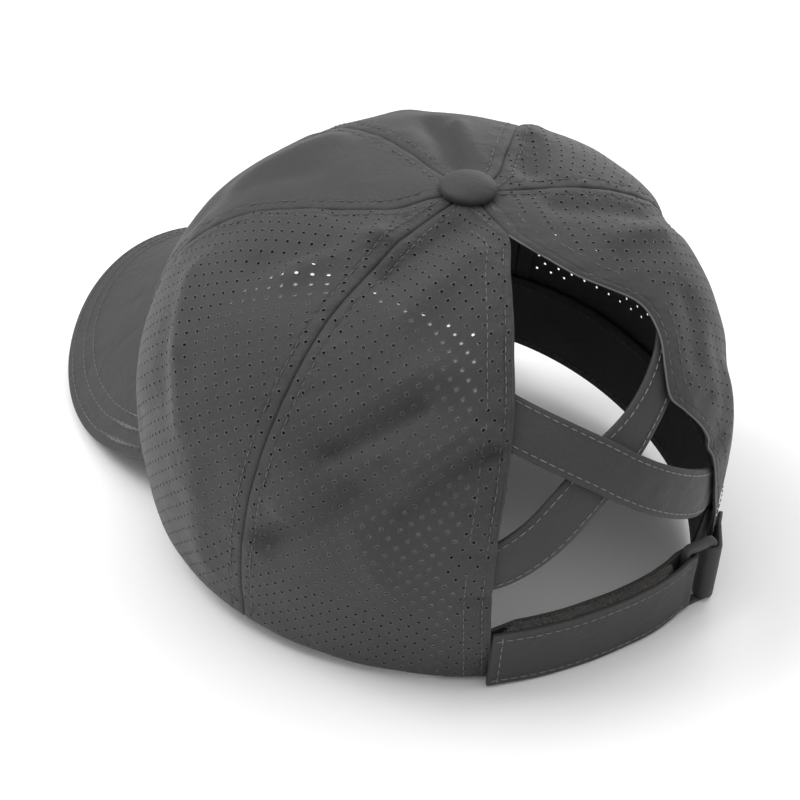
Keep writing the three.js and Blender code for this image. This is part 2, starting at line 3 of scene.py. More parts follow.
import bmesh
import bpy
import numpy as np
from bpy.props import FloatProperty, FloatVectorProperty, IntProperty, PointerProperty
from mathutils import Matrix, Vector, noise


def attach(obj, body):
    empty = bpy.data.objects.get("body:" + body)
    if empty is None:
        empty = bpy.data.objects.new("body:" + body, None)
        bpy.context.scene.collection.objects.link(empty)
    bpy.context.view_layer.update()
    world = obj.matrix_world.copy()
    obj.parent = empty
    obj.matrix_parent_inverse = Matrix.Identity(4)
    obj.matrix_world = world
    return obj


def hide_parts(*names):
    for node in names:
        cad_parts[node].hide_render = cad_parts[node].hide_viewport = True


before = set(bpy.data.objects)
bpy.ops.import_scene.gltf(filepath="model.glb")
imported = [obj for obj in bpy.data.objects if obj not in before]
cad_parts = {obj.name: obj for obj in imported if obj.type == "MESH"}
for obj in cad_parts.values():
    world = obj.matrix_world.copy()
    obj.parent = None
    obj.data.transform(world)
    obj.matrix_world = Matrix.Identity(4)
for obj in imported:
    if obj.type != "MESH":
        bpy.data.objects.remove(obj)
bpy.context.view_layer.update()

bl_info = {
    "name": "Ponytail Cap",
    "version": (1, 0, 0),
    "blender": (4, 5, 0),
    "location": "3D View > Sidebar > Cap",
    "description": "Dresses the ponytail cap in punched cloth, stitching and fastening tape",
    "category": "Object",
}

# The cap's own shape, in millimetres and degrees. +X is the wearer's left, +Y the back, and
# azimuths are measured from the back towards the left. Rise is the angle up the crown. CLOSE says
# how the crown draws in towards the top on each side, and SWELL how much it bulges half way up.
BACK_RADIUS = 97.5
FRONT_RADIUS = 94.2
LEFT_RADIUS = 91.6
RIGHT_RADIUS = 80.5
CROWN_HEIGHT = 116.5
APEX_BACK = 8.8
HEIGHT_POWER = 0.97
CLOSE = {"back": 0.76, "left": 0.481, "front": 0.564, "right": 0.408}
SWELL = {"back": 0.144, "left": 0.158, "front": 0.056, "right": 0.098}
PANEL_PUFF = 1.0
PUFF_HEIGHT = 45.0
PUFF_RADIUS = 45.0
CORNER_FLARE = 3.4
CORNER_AZIMUTH = -27.0
CORNER_SPREAD = 13.0
CORNER_HEIGHT = 44.0
PEAK_HALF_ANGLE = 56.5
PEAK_REACH = 78.0
PEAK_ROUND = 2.45
PEAK_END_ROUND = 0.524
PEAK_SPREAD = 0.162
PEAK_ARCH = 44.0
PEAK_DIP = 21.9
PEAK_THICKNESS = 2.6
PEAK_CORNER_LIFT = 3.2
PEAK_LIFT_FROM = 70.0
PEAK_ROOT = 1.5
LEAN_BACK = 4.95
MIDDLE = (-7.83663, 32.74179, 0.25937)
BAND_HEIGHT = 27.0
BAND_FROM = 37.0
BAND_TO = 318.0
CLOSURE_THICKNESS = 1.4
CLOSURE_WIDTH = 21.0
CLOSURE_LEAN = 1.2
LAYER_SPACING = 4.9
TAPE_WIDTH = 19.0
RING_HEIGHT = 24.0
RING_LEFT_X = -31.4
RING_RIGHT_X = -41.0
RING_Y = 91.9
RING_FOOT = -0.6
RING_STRAP_LOW = 0.9
TAB_CLEARANCE = 0.6
TAB_TURN = 147.0
WALL = 1.2

# The finished panels: the plain cloth beside the opening's right edge, the radius left open under
# the button, how the seams, the opening's edges and the hem roll in, and the soft waves of the
# cloth as height, size and seed. A pattern covers so many radians each way, in so many spans.
PLAIN_EDGE = 8.5
BUTTON_CUT = 7.4
GROOVE_WIDTH = 0.36
EDGE_ROLL = 0.5
HEM_ROLL = (0.3, 0.8)
PUCKER_DEPTH = 0.5
SOFT_WAVES = ((0.5, 26, 5), (0.25, 12, 6))
PATTERN_REACH = 1.3
PATTERN_SPANS = 208

# The panels' turned-under edges and the facings of the opening, each from one depth behind the
# cloth to another. The faces of a facing's section at the fold of its right edge carry a painted
# highlight: a lighter colour where the fold catches the light.
ALLOWANCE_WIDTH = 5.2
ALLOWANCE_OFFSET = 2.95
ALLOWANCE_DEPTHS = (0.35, 0.62)
ALLOWANCE_END = 15.0
FACING_DEPTHS = (0.05, 0.3)
FACING_SPANS = 89
FOLD_HIGHLIGHT = range(13, 16)

# Stitching: how far the thread's middle lies above the cloth, as a share of its width, then each
# row's distance from its edge. Rows on the crown stop at a radius from the button's middle.
THREAD_LIFT = 0.18
SEAM_ROWS_END = 10.5
OPENING_ROWS = ((2.6, 10.5), (8.0, 16))
PEAK_ROWS = (2.2, 6.2, 9.6)
PEAK_SPANS = 110

# The sweatband, the cross straps and the closure strap with its tapes.
BAND_GAP = 0.4
BAND_THICKNESS = 1.1
BAND_ROW = 3.0
STRAP_STEPS = 90
STRAP_THICKNESS = 1.2
STRAP_HEM = 2.6
STRAP_HEM_STEP = 0.16
STRAP_ROW = 1.8
STRAP_BOW = 0.9
CLOSURE_START = (34, 32, 30.5, 28.5, 27)
CLOSURE_GAP = 0.6
CLOSURE_STEPS = 44
CLOSURE_RUN_ON = (-9.4, 2.9)
CLOSURE_TIP = -0.3
CLOSURE_ROWS = (2.0, CLOSURE_WIDTH - 2.8)
CLOSURE_ROWS_TIP = -0.08
CLOSURE_BAR = (0.0, -0.06)
TAPE_HALF = 0.55
TAPE_GAP = 0.35
TAPE_FIBRES = 2200
TAPE_END_FIBRES = 260

# The ring's bars, and where the tab starts outside the hem and ends inside it, as azimuths.
RING_SHIFT = 0.6
RING_INSET = 0.55
RING_CORNER = 1.1
RING_SIDE_BAR = 0.95
RING_TOP_BAR = 1.3
RING_FOOT_BAR = 0.6
RING_TOP_LIFT = 0.6
RING_HALF_DEPTH = 1.5
RING_SQUARENESS = 0.45
TAB_OUTSIDE = (321.5, 323.2, 325)
TAB_INSIDE = (328.6, 325, 323.2, 321.5)

# The button's outline from its stem up, as radius and height over the crown.
BUTTON_PROFILE = (
    *((3.6, -2.2), (4.4, -1.4), (4.4, 0.4), (5.6, 0.4), (7.6, 0.25), (8.3, 0.45), (8.7, 1.0)),
    *((8.8, 1.9), (8.68, 2.5), (8.3, 3.05), (7.6, 3.6), (6.6, 4.15), (5.2, 4.7), (3.6, 5.1)),
    (1.8, 5.35),
)
BUTTON_TOP = 5.42
BUTTON_SIDES = 72

# The stage, in metres. Each light has a place and a size.
FLOOR_REACH = 12.0
LIGHTS = {
    "key_light": ((0.9, -0.8, 1.65), 1.0),
    "front_light": ((-1.5, -0.8, 0.7), 1.3),
    "top_light": ((-0.1, -0.2, 2.2), 2.6),
}
LIGHT_AIM = (0.0, 0.0, 0.05)
CAMERA_PLACE = (0.40029, 0.61654, 0.48872)
CAMERA_AIM = (-0.00003, 0.02696, 0.03965)
CAMERA_LENS = 116.71

# Azimuths of the seams and of the rear opening's edges at each rise, in degrees.
SEAMS = {
    "rise": (0, 15, 30, 45, 60, 66, 75, 82, 87, 90),
    "rear_left": (74, 73.4, 72.2, 71.4, 71.4, 71.4, 71.2, 72, 73.5, 72),
    "front_left": (122, 125, 129, 128, 124.5, 122.3, 115.5, 107.5, 100, 106),
    "front": (179, 179, 179, 178.5, 178, 177.5, 177.5, 178, 178.5, 179),
    "front_right": (237, 237, 237, 237, 237, 237, 238.5, 241.5, 247, 260),
    "rear_right": (284, 285, 286, 286, 286, 286.8, 288, 288, 288.5, 289),
}
REAR_SEAM = 5.0
OPENING_TOP = 81.5
OPENING = {
    "rise": (0, 13, 20, 30, 36, 42, 45.3, 50, 55, 60, 63, 67, 70.5, 76, OPENING_TOP),
    "open_left": (25.2, 27.4, 28, 28, 27.3, 26.5, 26, 25.2, 24.4, 23.6, 22.7, 21.3, 19.8, 15.5, REAR_SEAM),
    "open_right": (
        *(327.6, 328.2, 331.6, 334.5, 336.8, 341.8, 344.6, 342, 337.2, 335, 336.4, 342, 348, 355.5),
        360 + REAR_SEAM,
    ),
}

# Each panel's two edges, where its punched cloth starts (the height in its pattern and how much
# that climbs for each millimetre to the side, or None for plain cloth), then the turn of the rows
# of holes in degrees and the place of one hole.
PANELS = {
    "panel_rear_left": ("open_left", "rear_left", (1.7, 0.0), 48.0, (-3.3, 122.1)),
    "panel_side_left": ("rear_left", "front_left", (1.7, 0.0), 44.0, (-1.0, 94.4)),
    "panel_front_left": ("front_left", "front", None, 45.0, (0.0, 0.0)),
    "panel_front_right": ("front", "front_right", None, 45.0, (0.0, 0.0)),
    "panel_side_right": ("front_right", "rear_right", (34.8, 0.1), 46.0, (0.6, 95.0)),
    "panel_rear_right": ("rear_right", "open_right", (1.7, 0.0), 43.0, (1.2, 121.0)),
}

# Folds of the cloth: from one place to another, each as azimuth and rise, then the width and the
# push, which is outwards where it is positive.
FOLDS = (
    ((67.2, 20.3), (51.7, 36.5), 7, -2.6),
    ((44.2, 30.5), (32.7, 43.6), 6, -2.4),
    ((58.5, 40.5), (44.9, 52), 7, -2.2),
    ((63.2, 75.7), (38.1, 86.4), 5, -1.4),
    ((87.8, 69.4), (80.7, 82.2), 6, 1.2),
    ((88.3, 36.7), (88.2, 24), 9, 1.2),
    ((202.7, 75.6), (211, 87.5), 6, -2.2),
    ((254, 82.9), (268, 87), 5, -1.8),
    ((262, 30), (284, 52), 9, -2),
    ((300, 22), (318, 42), 8, -1.8),
)

# Sharper creases along the folds, the soft ridges beside them and the small puckers between the
# stitch rows of the opening.
CREASES = (
    ((69, 19.2), (54.5, 35.8), 3.2, -2.2),
    ((65, 27.7), (52, 41.5), 5, 2.0),
    ((45, 33.6), (40.4, 39.4), 2.8, -2.4),
    ((38, 41.4), (29, 44.4), 2.6, -2.2),
    ((44, 40), (31, 48.5), 4.5, 1.7),
    ((59.5, 41), (45, 52.3), 3, -2.3),
    ((57, 47), (43, 58), 5.5, 1.4),
    ((52, 29), (47, 20), 5, 1.2),
    ((65.5, 75.3), (46, 86.5), 3.4, -1.8),
    ((54, 68), (33, 80), 5, 1.4),
    ((99, 64.7), (86, 77), 4.6, -2.1),
    ((87.5, 67.6), (81, 82), 3.8, 1.4),
    ((112, 52), (98, 42.8), 5, 1.4),
    ((98, 42.8), (90.5, 32.7), 5, 1.4),
    ((84, 26.4), (83, 7.2), 6, 1.2),
    ((108, 20), (99, 32), 6, -1.4),
    ((205.5, 72.3), (212.5, 87), 3.6, -2.4),
    ((214.5, 76.8), (222, 87), 4.2, 1.7),
    ((248, 80.2), (262.5, 86.3), 3.6, -2.2),
    ((243, 72), (250, 83), 4.6, 1.5),
    ((307.5, 83.4), (298.5, 70.5), 4.6, -1.8),
    ((316.5, 72.6), (301.5, 66.2), 5, 1.8),
    ((319, 55), (329.5, 46.6), 5, -1.4),
    ((318, 38), (326, 28), 5, 1.2),
    ((138, 46), (140, 72), 6, -1.7),
    ((140, 58.6), (164, 69.4), 6, 1.7),
    ((150, 40), (170, 56), 7, -1.4),
    ((31.5, 50), (26.6, 49.3), 2.2, -1.3),
    ((31.5, 45.5), (26.6, 45.5), 2, -1.3),
    ((32, 39.7), (27.2, 40.3), 2.2, -1.6),
    ((34, 35.1), (28, 36.1), 2, -1.1),
    ((32.5, 17.6), (28, 17.8), 2, -1.3),
    ((33, 27), (28.6, 26.4), 2, -0.8),
    ((331, 40), (336, 41), 2.2, -1.1),
    ((330, 31), (335, 31.4), 2.2, -1.1),
    ((272, 34), (262, 50), 6, -1.5),
    ((250, 24), (262, 38), 7, 1.4),
    ((226, 30), (214, 54), 8, -1.5),
    ((196, 34), (204, 56), 8, 1.4),
    ((290, 60), (276, 48), 5, -1.4),
)

# The cross straps from their upper or lower left end to the right, with how far they lie inside
# the crown's surface.
CROSS_STRAPS = {
    "cross_strap_upper": {
        "width": (15.6,) * 8,
        "step": tuple(range(8)),
        "azimuth": (32, 25, 16, 7.5, -0.8, -12.4, -26, -34),
        "rise": (53.2, 49.4, 44.5, 39.5, 34, 27.9, 21.6, 19),
        "inset": (2.1, 1.7, 0.5, 0.1, 0, 0.4, 1.7, 2.4),
    },
    "cross_strap_lower": {
        "width": (15.6, 15.6, 15.6, 15.4, 14.6, 12, 10.8, 10.4, 10.4),
        "step": tuple(range(9)),
        "azimuth": (36, 28, 20.6, 12.4, 4, -5.6, -16, -26, -33),
        "rise": (21.6, 22.8, 27, 33.6, 39.3, 43.6, 47.8, 51.8, 55),
        "inset": (2.3, 1.9, 2, 2.4, 2.6, 2.4, 2.1, 1.9, 2.4),
    },
}

# The foot of the closure strap's outer face, from its free end to the ring.
CLOSURE_PATH = {
    "step": tuple(range(8)),
    "x": (39.4, 30, 20, 8, -4, -15, -24, -30),
    "y": (92.3, 95.2, 97.4, 98.7, 99.1, 98.6, 97, 95.2),
    "low": (0, 0, 0, 0, 0.1, 0.3, 0.6, RING_STRAP_LOW),
}
CLOSURE_LAST = 7
SEAM_NAMES = ("rear_left", "front_left", "front", "front_right", "rear_right")
OPENING_SIDES = (("open_left", 1), ("open_right", -1))


def smooth(t):
    t = np.clip(t, 0, 1)
    return t * t * (3 - 2 * t)


def bell(distance, centre, width):
    return np.exp(-(((distance - centre) / width) ** 2))


def unit(v):
    return v / np.maximum(np.linalg.norm(v, axis=-1, keepdims=True), 1e-12)


def along(table, column, at, key="rise"):
    """Read one column of a table as a smooth curve through its rows."""
    keys = np.array(table[key], float)
    values = np.array(table[column], float)
    order = np.arange(len(keys))
    low = np.maximum(order - 1, 0)
    high = np.minimum(order + 1, len(keys) - 1)
    slopes = (values[high] - values[low]) / (keys[high] - keys[low])
    x = np.clip(at, keys[0], keys[-1])
    i = np.clip(np.searchsorted(keys, x, side="right") - 1, 0, len(keys) - 2)
    step = keys[i + 1] - keys[i]
    t = (x - keys[i]) / step
    return (
        (2 * t**3 - 3 * t**2 + 1) * values[i]
        + (t**3 - 2 * t**2 + t) * step * slopes[i]
        + (3 * t**2 - 2 * t**3) * values[i + 1]
        + (t**3 - t**2) * step * slopes[i + 1]
    )


def edge_azimuth(name, rise):
    """Azimuth, in radians, of a seam or of an edge of the rear opening."""
    table = OPENING if name.startswith("open") else SEAMS
    return np.radians(along(table, name, np.degrees(rise)))


def round_the_cap(azimuth, values):
    c = np.cos(azimuth)
    s = np.sin(azimuth)
    lengthwise = np.where(c > 0, values["back"], values["front"])
    sideways = np.where(s > 0, values["left"], values["right"])
    return lengthwise * c * c + sideways * s * s


def side_radius(azimuth):
    return np.where(np.sin(azimuth) > 0, LEFT_RADIUS, RIGHT_RADIUS)


def board_height(x, y):
    """Height of the bent peak's board over a place in plan."""
    corner = math.pi - math.radians(PEAK_HALF_ANGLE)
    corner_x = np.where(x > 0, LEFT_RADIUS, RIGHT_RADIUS) * math.sin(corner)
    corner_y = FRONT_RADIUS * math.cos(corner)
    arch = PEAK_ARCH * (1 - (x / corner_x) ** 2)
    return PEAK_CORNER_LIFT + arch - math.tan(math.radians(PEAK_DIP)) * (corner_y - y)


def hem_height(azimuth):
    """Height of the hem, which follows the peak's board in front."""
    turn = np.abs(np.arctan2(np.sin(azimuth), np.cos(azimuth)))
    corner = math.pi - math.radians(PEAK_HALF_ANGLE)
    x = side_radius(azimuth) * np.sin(azimuth)
    y = FRONT_RADIUS * np.cos(azimuth)
    start = math.radians(PEAK_LIFT_FROM)
    rest = PEAK_CORNER_LIFT * smooth((turn - start) / (corner - start))
    return np.where(turn > corner, board_height(x, y), rest)


def base_crown(azimuth, rise):
    azimuth, rise = np.broadcast_arrays(np.asarray(azimuth, float), np.asarray(rise, float))
    close = round_the_cap(azimuth, CLOSE)
    swell = round_the_cap(azimuth, SWELL)
    inward = np.maximum(0, np.cos(rise)) ** close * (1 + swell * np.sin(2 * rise))
    up = np.maximum(0, np.sin(rise)) ** HEIGHT_POWER
    length_radius = np.where(np.cos(azimuth) > 0, BACK_RADIUS, FRONT_RADIUS)
    x = side_radius(azimuth) * np.sin(azimuth) * inward
    y = length_radius * np.cos(azimuth) * inward + APEX_BACK * up
    z = hem_height(azimuth) * (1 - up) + CROWN_HEIGHT * up
    return np.stack([x, y, z], -1)


def normal_of(surface, azimuth, rise):
    d = 2e-3
    low = np.maximum(0, rise - d)
    high = np.minimum(math.pi / 2 - 1e-4, rise + d)
    across = surface(azimuth + d, rise) - surface(azimuth - d, rise)
    upward = surface(azimuth, high) - surface(azimuth, low)
    return unit(np.cross(upward, across))


def fold_push(points):
    push = np.zeros(points.shape[:-1])
    for start, end, width, depth in FOLDS + CREASES:
        a = base_crown(math.radians(start[0]), math.radians(start[1]))
        b = base_crown(math.radians(end[0]), math.radians(end[1]))
        run = b - a
        t = np.clip(((points - a) @ run) / (run @ run), 0, 1)
        d = np.linalg.norm(points - a - t[..., None] * run, axis=-1) / width
        push = push + depth * np.exp(-d * d)
    return push


def puff(azimuth, rise, points):
    """Each panel puffs out a little between its seams."""
    turn = np.mod(azimuth, 2 * math.pi)
    radius = np.hypot(points[..., 0], points[..., 1] - APEX_BACK)
    share = np.zeros(turn.shape)
    for first, last, *_ in PANELS.values():
        start = edge_azimuth(first, rise)
        width = edge_azimuth(last, rise) - start
        for t in (turn, turn + 2 * math.pi):
            inside = (t >= start) & (t <= start + width)
            share = np.where(inside, np.sin(math.pi * (t - start) / width), share)
    high = smooth(points[..., 2] / PUFF_HEIGHT)
    return PANEL_PUFF * share * np.clip(radius / PUFF_RADIUS, 0, 1) * high


def corner_flare(azimuth, points):
    away = math.radians(CORNER_AZIMUTH) - np.arctan2(np.sin(azimuth), np.cos(azimuth))
    d = away / math.radians(CORNER_SPREAD)
    return CORNER_FLARE * np.exp(-d * d) * smooth(1 - points[..., 2] / CORNER_HEIGHT)


def skin(azimuth, rise):
    """The crown's outer surface with its folds, puffs and flared corner."""
    azimuth, rise = np.broadcast_arrays(np.asarray(azimuth, float), np.asarray(rise, float))
    points = base_crown(azimuth, rise)
    push = fold_push(points) + puff(azimuth, rise, points) + corner_flare(azimuth, points)
    return points + normal_of(base_crown, azimuth, rise) * push[..., None]


def in_frame(points):
    """Lays points of the cap down as it rests, and turns millimetres into metres."""
    lean = math.radians(LEAN_BACK)
    x, y, z = points[..., 0], points[..., 1] - BACK_RADIUS, points[..., 2]
    back = BACK_RADIUS + y * math.cos(lean) + z * math.sin(lean)
    up = z * math.cos(lean) - y * math.sin(lean)
    return (np.stack([x, back, up], -1) + np.array(MIDDLE)) / 1000


def turn_in_frame(directions):
    lean = math.radians(LEAN_BACK)
    x, y, z = directions[..., 0], directions[..., 1], directions[..., 2]
    return np.stack(
        [x, y * math.cos(lean) + z * math.sin(lean), z * math.cos(lean) - y * math.sin(lean)], -1
    )


def rise_of_height(azimuth, height):
    hem = hem_height(azimuth)
    up = np.clip(height / (CROWN_HEIGHT - hem), 0, 1)
    return np.arcsin(up ** (1 / HEIGHT_POWER))


def mm_per_radian(azimuth, rise):
    """Length round the crown for each radian of azimuth."""
    d = 1e-3
    step = base_crown(azimuth + d, rise) - base_crown(azimuth - d, rise)
    return np.maximum(np.linalg.norm(step, axis=-1) / (2 * d), 1e-6)


def wander(points, size, seed):
    """Smooth noise at each point, from about -1 to 1, with bumps of the given size."""
    shift = Vector((seed * 17.3, seed * 5.1, seed * 9.7))
    return np.array([noise.noise(Vector(p) / size + shift) for p in points.reshape(-1, 3)])


class Pattern:
    """The flat pattern of a panel: u runs round the cap, v up the panel's own meridian."""

    def __init__(self, first, last):
        self.first = first
        self.last = last
        r = math.radians(35)
        self.middle = float(edge_azimuth(first, r) + edge_azimuth(last, r)) / 2
        near_top = math.pi / 2 - np.geomspace(0.03, 1e-4, 60)
        self.rises = np.append(np.linspace(0, 1.54, 380), near_top)
        line = base_crown(self.middle, self.rises)
        steps = np.linalg.norm(np.diff(line, axis=0), axis=1)
        self.heights = np.concatenate([[0], np.cumsum(steps)])
        self.turns = np.linspace(-PATTERN_REACH, PATTERN_REACH, PATTERN_SPANS + 1)
        grid = base_crown(self.middle + self.turns[None, :], self.rises[:, None])
        steps = np.linalg.norm(np.diff(grid, axis=1), axis=2)
        run = np.cumsum(np.pad(steps, ((0, 0), (1, 0))), axis=1)
        self.run = run - run[:, PATTERN_SPANS // 2, None]

    def across(self, turn, v):
        """Length round the crown from the pattern's middle to a turn from it, at heights v."""
        row = np.interp(v, self.heights, np.arange(len(self.rises)))
        i = np.minimum(row.astype(int), len(self.rises) - 2)
        place = (turn - self.turns[0]) / (self.turns[1] - self.turns[0])
        place = np.clip(place, 0, PATTERN_SPANS - 0.001)
        k = place.astype(int)
        a, b = row - i, place - k
        low = self.run[i, k] * (1 - b) + self.run[i, k + 1] * b
        high = self.run[i + 1, k] * (1 - b) + self.run[i + 1, k + 1] * b
        return low * (1 - a) + high * a

    def edge(self, name, v):
        """Where an edge lies round the pattern at heights v."""
        v = np.asarray(v, float)
        rise = np.interp(v, self.heights, self.rises)
        return self.across(edge_azimuth(name, rise) - self.middle, v)

    def top(self, radius):
        """Height of the pattern where the whole panel lies within a radius of the apex."""
        for rise, height in zip(self.rises, self.heights):
            first = float(edge_azimuth(self.first, rise))
            last = float(edge_azimuth(self.last, rise))
            place = base_crown(np.linspace(first, last, 30), rise)
            if np.hypot(place[:, 0], place[:, 1] - APEX_BACK).max() < radius:
                return float(height)
        return float(self.heights[-1])

    def on_crown(self, u, v):
        """Azimuth and rise of places of the pattern, found in a few steps."""
        turn = np.zeros(len(u))
        d = 0.02
        furthest = PATTERN_REACH - d
        for _ in range(12):
            slope = (self.across(turn + d, v) - self.across(turn - d, v)) / (2 * d)
            step = (u - self.across(turn, v)) / np.maximum(slope, 1e-6)
            turn = np.clip(turn + step, -furthest, furthest)
        return self.middle + turn, np.interp(v, self.heights, self.rises)


class Wires:
    """Adds nodes to a tree and links them."""

    def __init__(self, tree):
        self.tree = tree
        self.count = 0

    def node(self, kind, **settings):
        item = self.tree.nodes.new(kind)
        item.location = (220 * (self.count % 8), -260 * (self.count // 8))
        self.count += 1
        for key, value in settings.items():
            setattr(item, key, value)
        return item

    def feed(self, value, socket):
        """Link an output to a socket, or set the socket's own value."""
        if isinstance(value, bpy.types.NodeSocket):
            self.tree.links.new(value, socket)
        elif value is not None:
            socket.default_value = value

    def fit(self, kind, given, result=0, **settings):
        """Add a node, feed the sockets named or numbered in given, and return an output."""
        item = self.node(kind, **settings)
        for key, value in given.items():
            self.feed(value, item.inputs[key])
        return item.outputs[result]

    def math(self, operation, a, b=None, c=None):
        given = {0: a}
        if b is not None:
            given[1] = b
        if c is not None:
            given[2] = c
        return self.fit("ShaderNodeMath", given, operation=operation)

    def vector(self, *parts):
        """A vector of up to three parts. A part that is None stays nothing."""
        item = self.node("ShaderNodeCombineXYZ")
        for value, socket in zip(parts, item.inputs):
            self.feed(value, socket)
        return item.outputs[0]

    def noise(self, place, scale, detail, distortion=0.0):
        given = {"Vector": place, "Scale": scale, "Detail": detail, "Distortion": distortion}
        return self.fit("ShaderNodeTexNoise", given)

    def between(self, share, dark, light):
        """A colour between two others, by a share from 0 to 1."""
        return self.fit("ShaderNodeMix", {0: share, 6: dark, 7: light}, result=2, data_type="RGBA")

    def bump(self, height, strength, distance, normal=None):
        given = {"Height": height, "Strength": strength, "Distance": distance, "Normal": normal}
        return self.fit("ShaderNodeBump", given)

    def bell(self, value, centre, width):
        """One at the centre, falling away to nothing over the width."""
        off = self.math("DIVIDE", self.math("SUBTRACT", value, centre), width)
        return self.math("EXPONENT", self.math("MULTIPLY", self.math("MULTIPLY", off, off), -1.0))


def new_tree(name, kind, inputs, outputs):
    """A node group with named sockets, each given by its type or by the number it starts from."""
    tree = bpy.data.node_groups.new(name, kind)
    for way, sockets in (("INPUT", inputs), ("OUTPUT", outputs)):
        for label, given in sockets.items():
            kind_of = {float: "Float", int: "Int"}.get(type(given), given)
            socket = tree.interface.new_socket(
                name=label, in_out=way, socket_type="NodeSocket" + kind_of
            )
            if kind_of != given:
                socket.default_value = given
    wires = Wires(tree)
    return tree, wires, wires.node("NodeGroupInput").outputs, wires.node("NodeGroupOutput").inputs


def weave_group():
    """The cloth's plain weave and its uneven tone, read from pattern coordinates in mm."""
    name = "Plain Weave"
    if name in bpy.data.node_groups:
        return bpy.data.node_groups[name]
    tree, w, start, end = new_tree(
        name,
        "ShaderNodeTree",
        {"Pattern": "Vector", "Place": "Vector", "Thread Spacing": 0.42, "Slub": 0.35},
        {"Height": "Float", "Tone": "Float", "Crumple": "Float"},
    )
    split = w.node("ShaderNodeSeparateXYZ")
    w.feed(start["Pattern"], split.inputs[0])
    turn = w.math("DIVIDE", 2 * math.pi, start["Thread Spacing"])
    warp = w.math("SINE", w.math("MULTIPLY", split.outputs[0], turn))
    weft = w.math("SINE", w.math("MULTIPLY", split.outputs[1], turn))
    cross = w.math("MULTIPLY", warp, weft)
    grain = w.noise(start["Pattern"], 1.1, 3.0)
    cloud = w.noise(start["Place"], 38.0, 2.0)
    rough = w.math("MULTIPLY", w.math("SUBTRACT", grain, 0.5), start["Slub"])
    w.feed(w.math("ADD", w.math("MULTIPLY", cross, 0.5), rough), end["Height"])
    speck = w.math("MULTIPLY_ADD", w.math("SUBTRACT", grain, 0.5), 2.4, 0.5)
    patch = w.math("MULTIPLY_ADD", w.math("SUBTRACT", cloud, 0.5), 1.4, 0.5)
    w.feed(w.math("MULTIPLY_ADD", speck, 0.55, w.math("MULTIPLY", patch, 0.45)), end["Tone"])
    w.feed(w.noise(start["Place"], 85.0, 4.0, 0.7), end["Crumple"])
    return tree


def seam_group():
    """How stitching pulls the cloth in along a seam, from the distance to the seam in mm, and the
    painted shade that darkens the seam's crease and its stitch row.
    """
    name = "Seam Pull"
    if name in bpy.data.node_groups:
        return bpy.data.node_groups[name]
    tree, w, start, end = new_tree(
        name,
        "ShaderNodeTree",
        {"Distance": "Float", "Pattern": "Vector", "Row Distance": 4.0},
        {"Height": "Float", "Shade": "Float"},
    )
    distance = start["Distance"]
    row = w.bell(distance, start["Row Distance"], 0.55)
    bulge = w.bell(distance, w.math("MULTIPLY", start["Row Distance"], 0.5), 1.1)
    near = w.bell(distance, start["Row Distance"], 3.0)
    pucker = w.noise(start["Pattern"], 0.42, 2.0)
    pull = w.math("MULTIPLY", w.math("SUBTRACT", pucker, 0.5), w.math("MULTIPLY", near, 1.3))
    height = w.math("SUBTRACT", w.math("MULTIPLY", bulge, 0.15), w.math("MULTIPLY", row, 0.4))
    w.feed(w.math("ADD", height, pull), end["Height"])
    # Shade is painted shade: darker along the seam's crease and along the stitch row.
    w.feed(w.math("ADD", w.math("MULTIPLY", row, 0.35), w.bell(distance, 0.0, 0.4)), end["Shade"])
    return tree


def group_node(w, tree, given):
    item = w.node("ShaderNodeGroup", node_tree=tree)
    for key, value in given.items():
        w.feed(value, item.inputs[key])
    return item.outputs


def new_material(name):
    """A new material, the wires of its nodes, and its shader's inputs."""
    material = bpy.data.materials.new(name)
    material.use_nodes = True
    shader = material.node_tree.nodes["Principled BSDF"]
    return material, Wires(material.node_tree), shader.inputs


def toned(colour, factor):
    return tuple(min(1.0, c * factor) for c in colour) + (1.0,)


def cloth_material(name, colour, roughness=0.62, sheen=0.06, crown=False, crumple=0.5, tint=0.24):
    """Woven cloth: an uneven tone, the weave's bump and, on the crown, the seams' pull with painted
    shade in their creases, and the raised rims of the punched holes with a painted highlight."""
    if name in bpy.data.materials:
        return bpy.data.materials[name]
    material, w, shader = new_material(name)
    coordinates = w.node("ShaderNodeTexCoord").outputs
    pattern = coordinates["UV"]
    cloth = group_node(w, weave_group(), {"Pattern": pattern, "Place": coordinates["Object"]})
    base = w.between(cloth["Tone"], toned(colour, 1 - tint), toned(colour, 1 + tint))
    bump = w.bump(cloth["Crumple"], crumple, 0.0016)
    bump = w.bump(cloth["Height"], 0.35, 0.00012, bump)
    if crown:
        distance = w.node("ShaderNodeAttribute", attribute_name="seam_distance").outputs["Fac"]
        seam = group_node(w, seam_group(), {"Distance": distance, "Pattern": pattern})
        rim = w.node("ShaderNodeAttribute", attribute_name="hole_rim").outputs["Fac"]
        rim = w.fit("ShaderNodeMapRange", {0: rim, 1: 0.74, 2: 0.9}, interpolation_type="SMOOTHSTEP")
        # Painted shade: the cloth's colour is darkened by up to half along the seams and their rows.
        shade = w.math("SUBTRACT", 1.0, w.math("MULTIPLY", seam["Shade"], 0.5))
        # Painted highlight: the rims of the punched holes are made up to twice as light as the cloth.
        factor = w.math("MULTIPLY_ADD", rim, 1.0, shade)
        base = w.fit("ShaderNodeVectorMath", {0: base, "Scale": factor}, operation="SCALE")
        raised = w.math("MULTIPLY_ADD", rim, 0.4, seam["Height"])
        bump = w.bump(raised, 0.8, 0.0005, bump)
    w.feed(base, shader["Base Color"])
    w.feed(bump, shader["Normal"])
    shader["Roughness"].default_value = roughness
    shader["Sheen Weight"].default_value = sheen
    shader["Sheen Roughness"].default_value = 0.45
    shader["Specular IOR Level"].default_value = 0.4
    return material


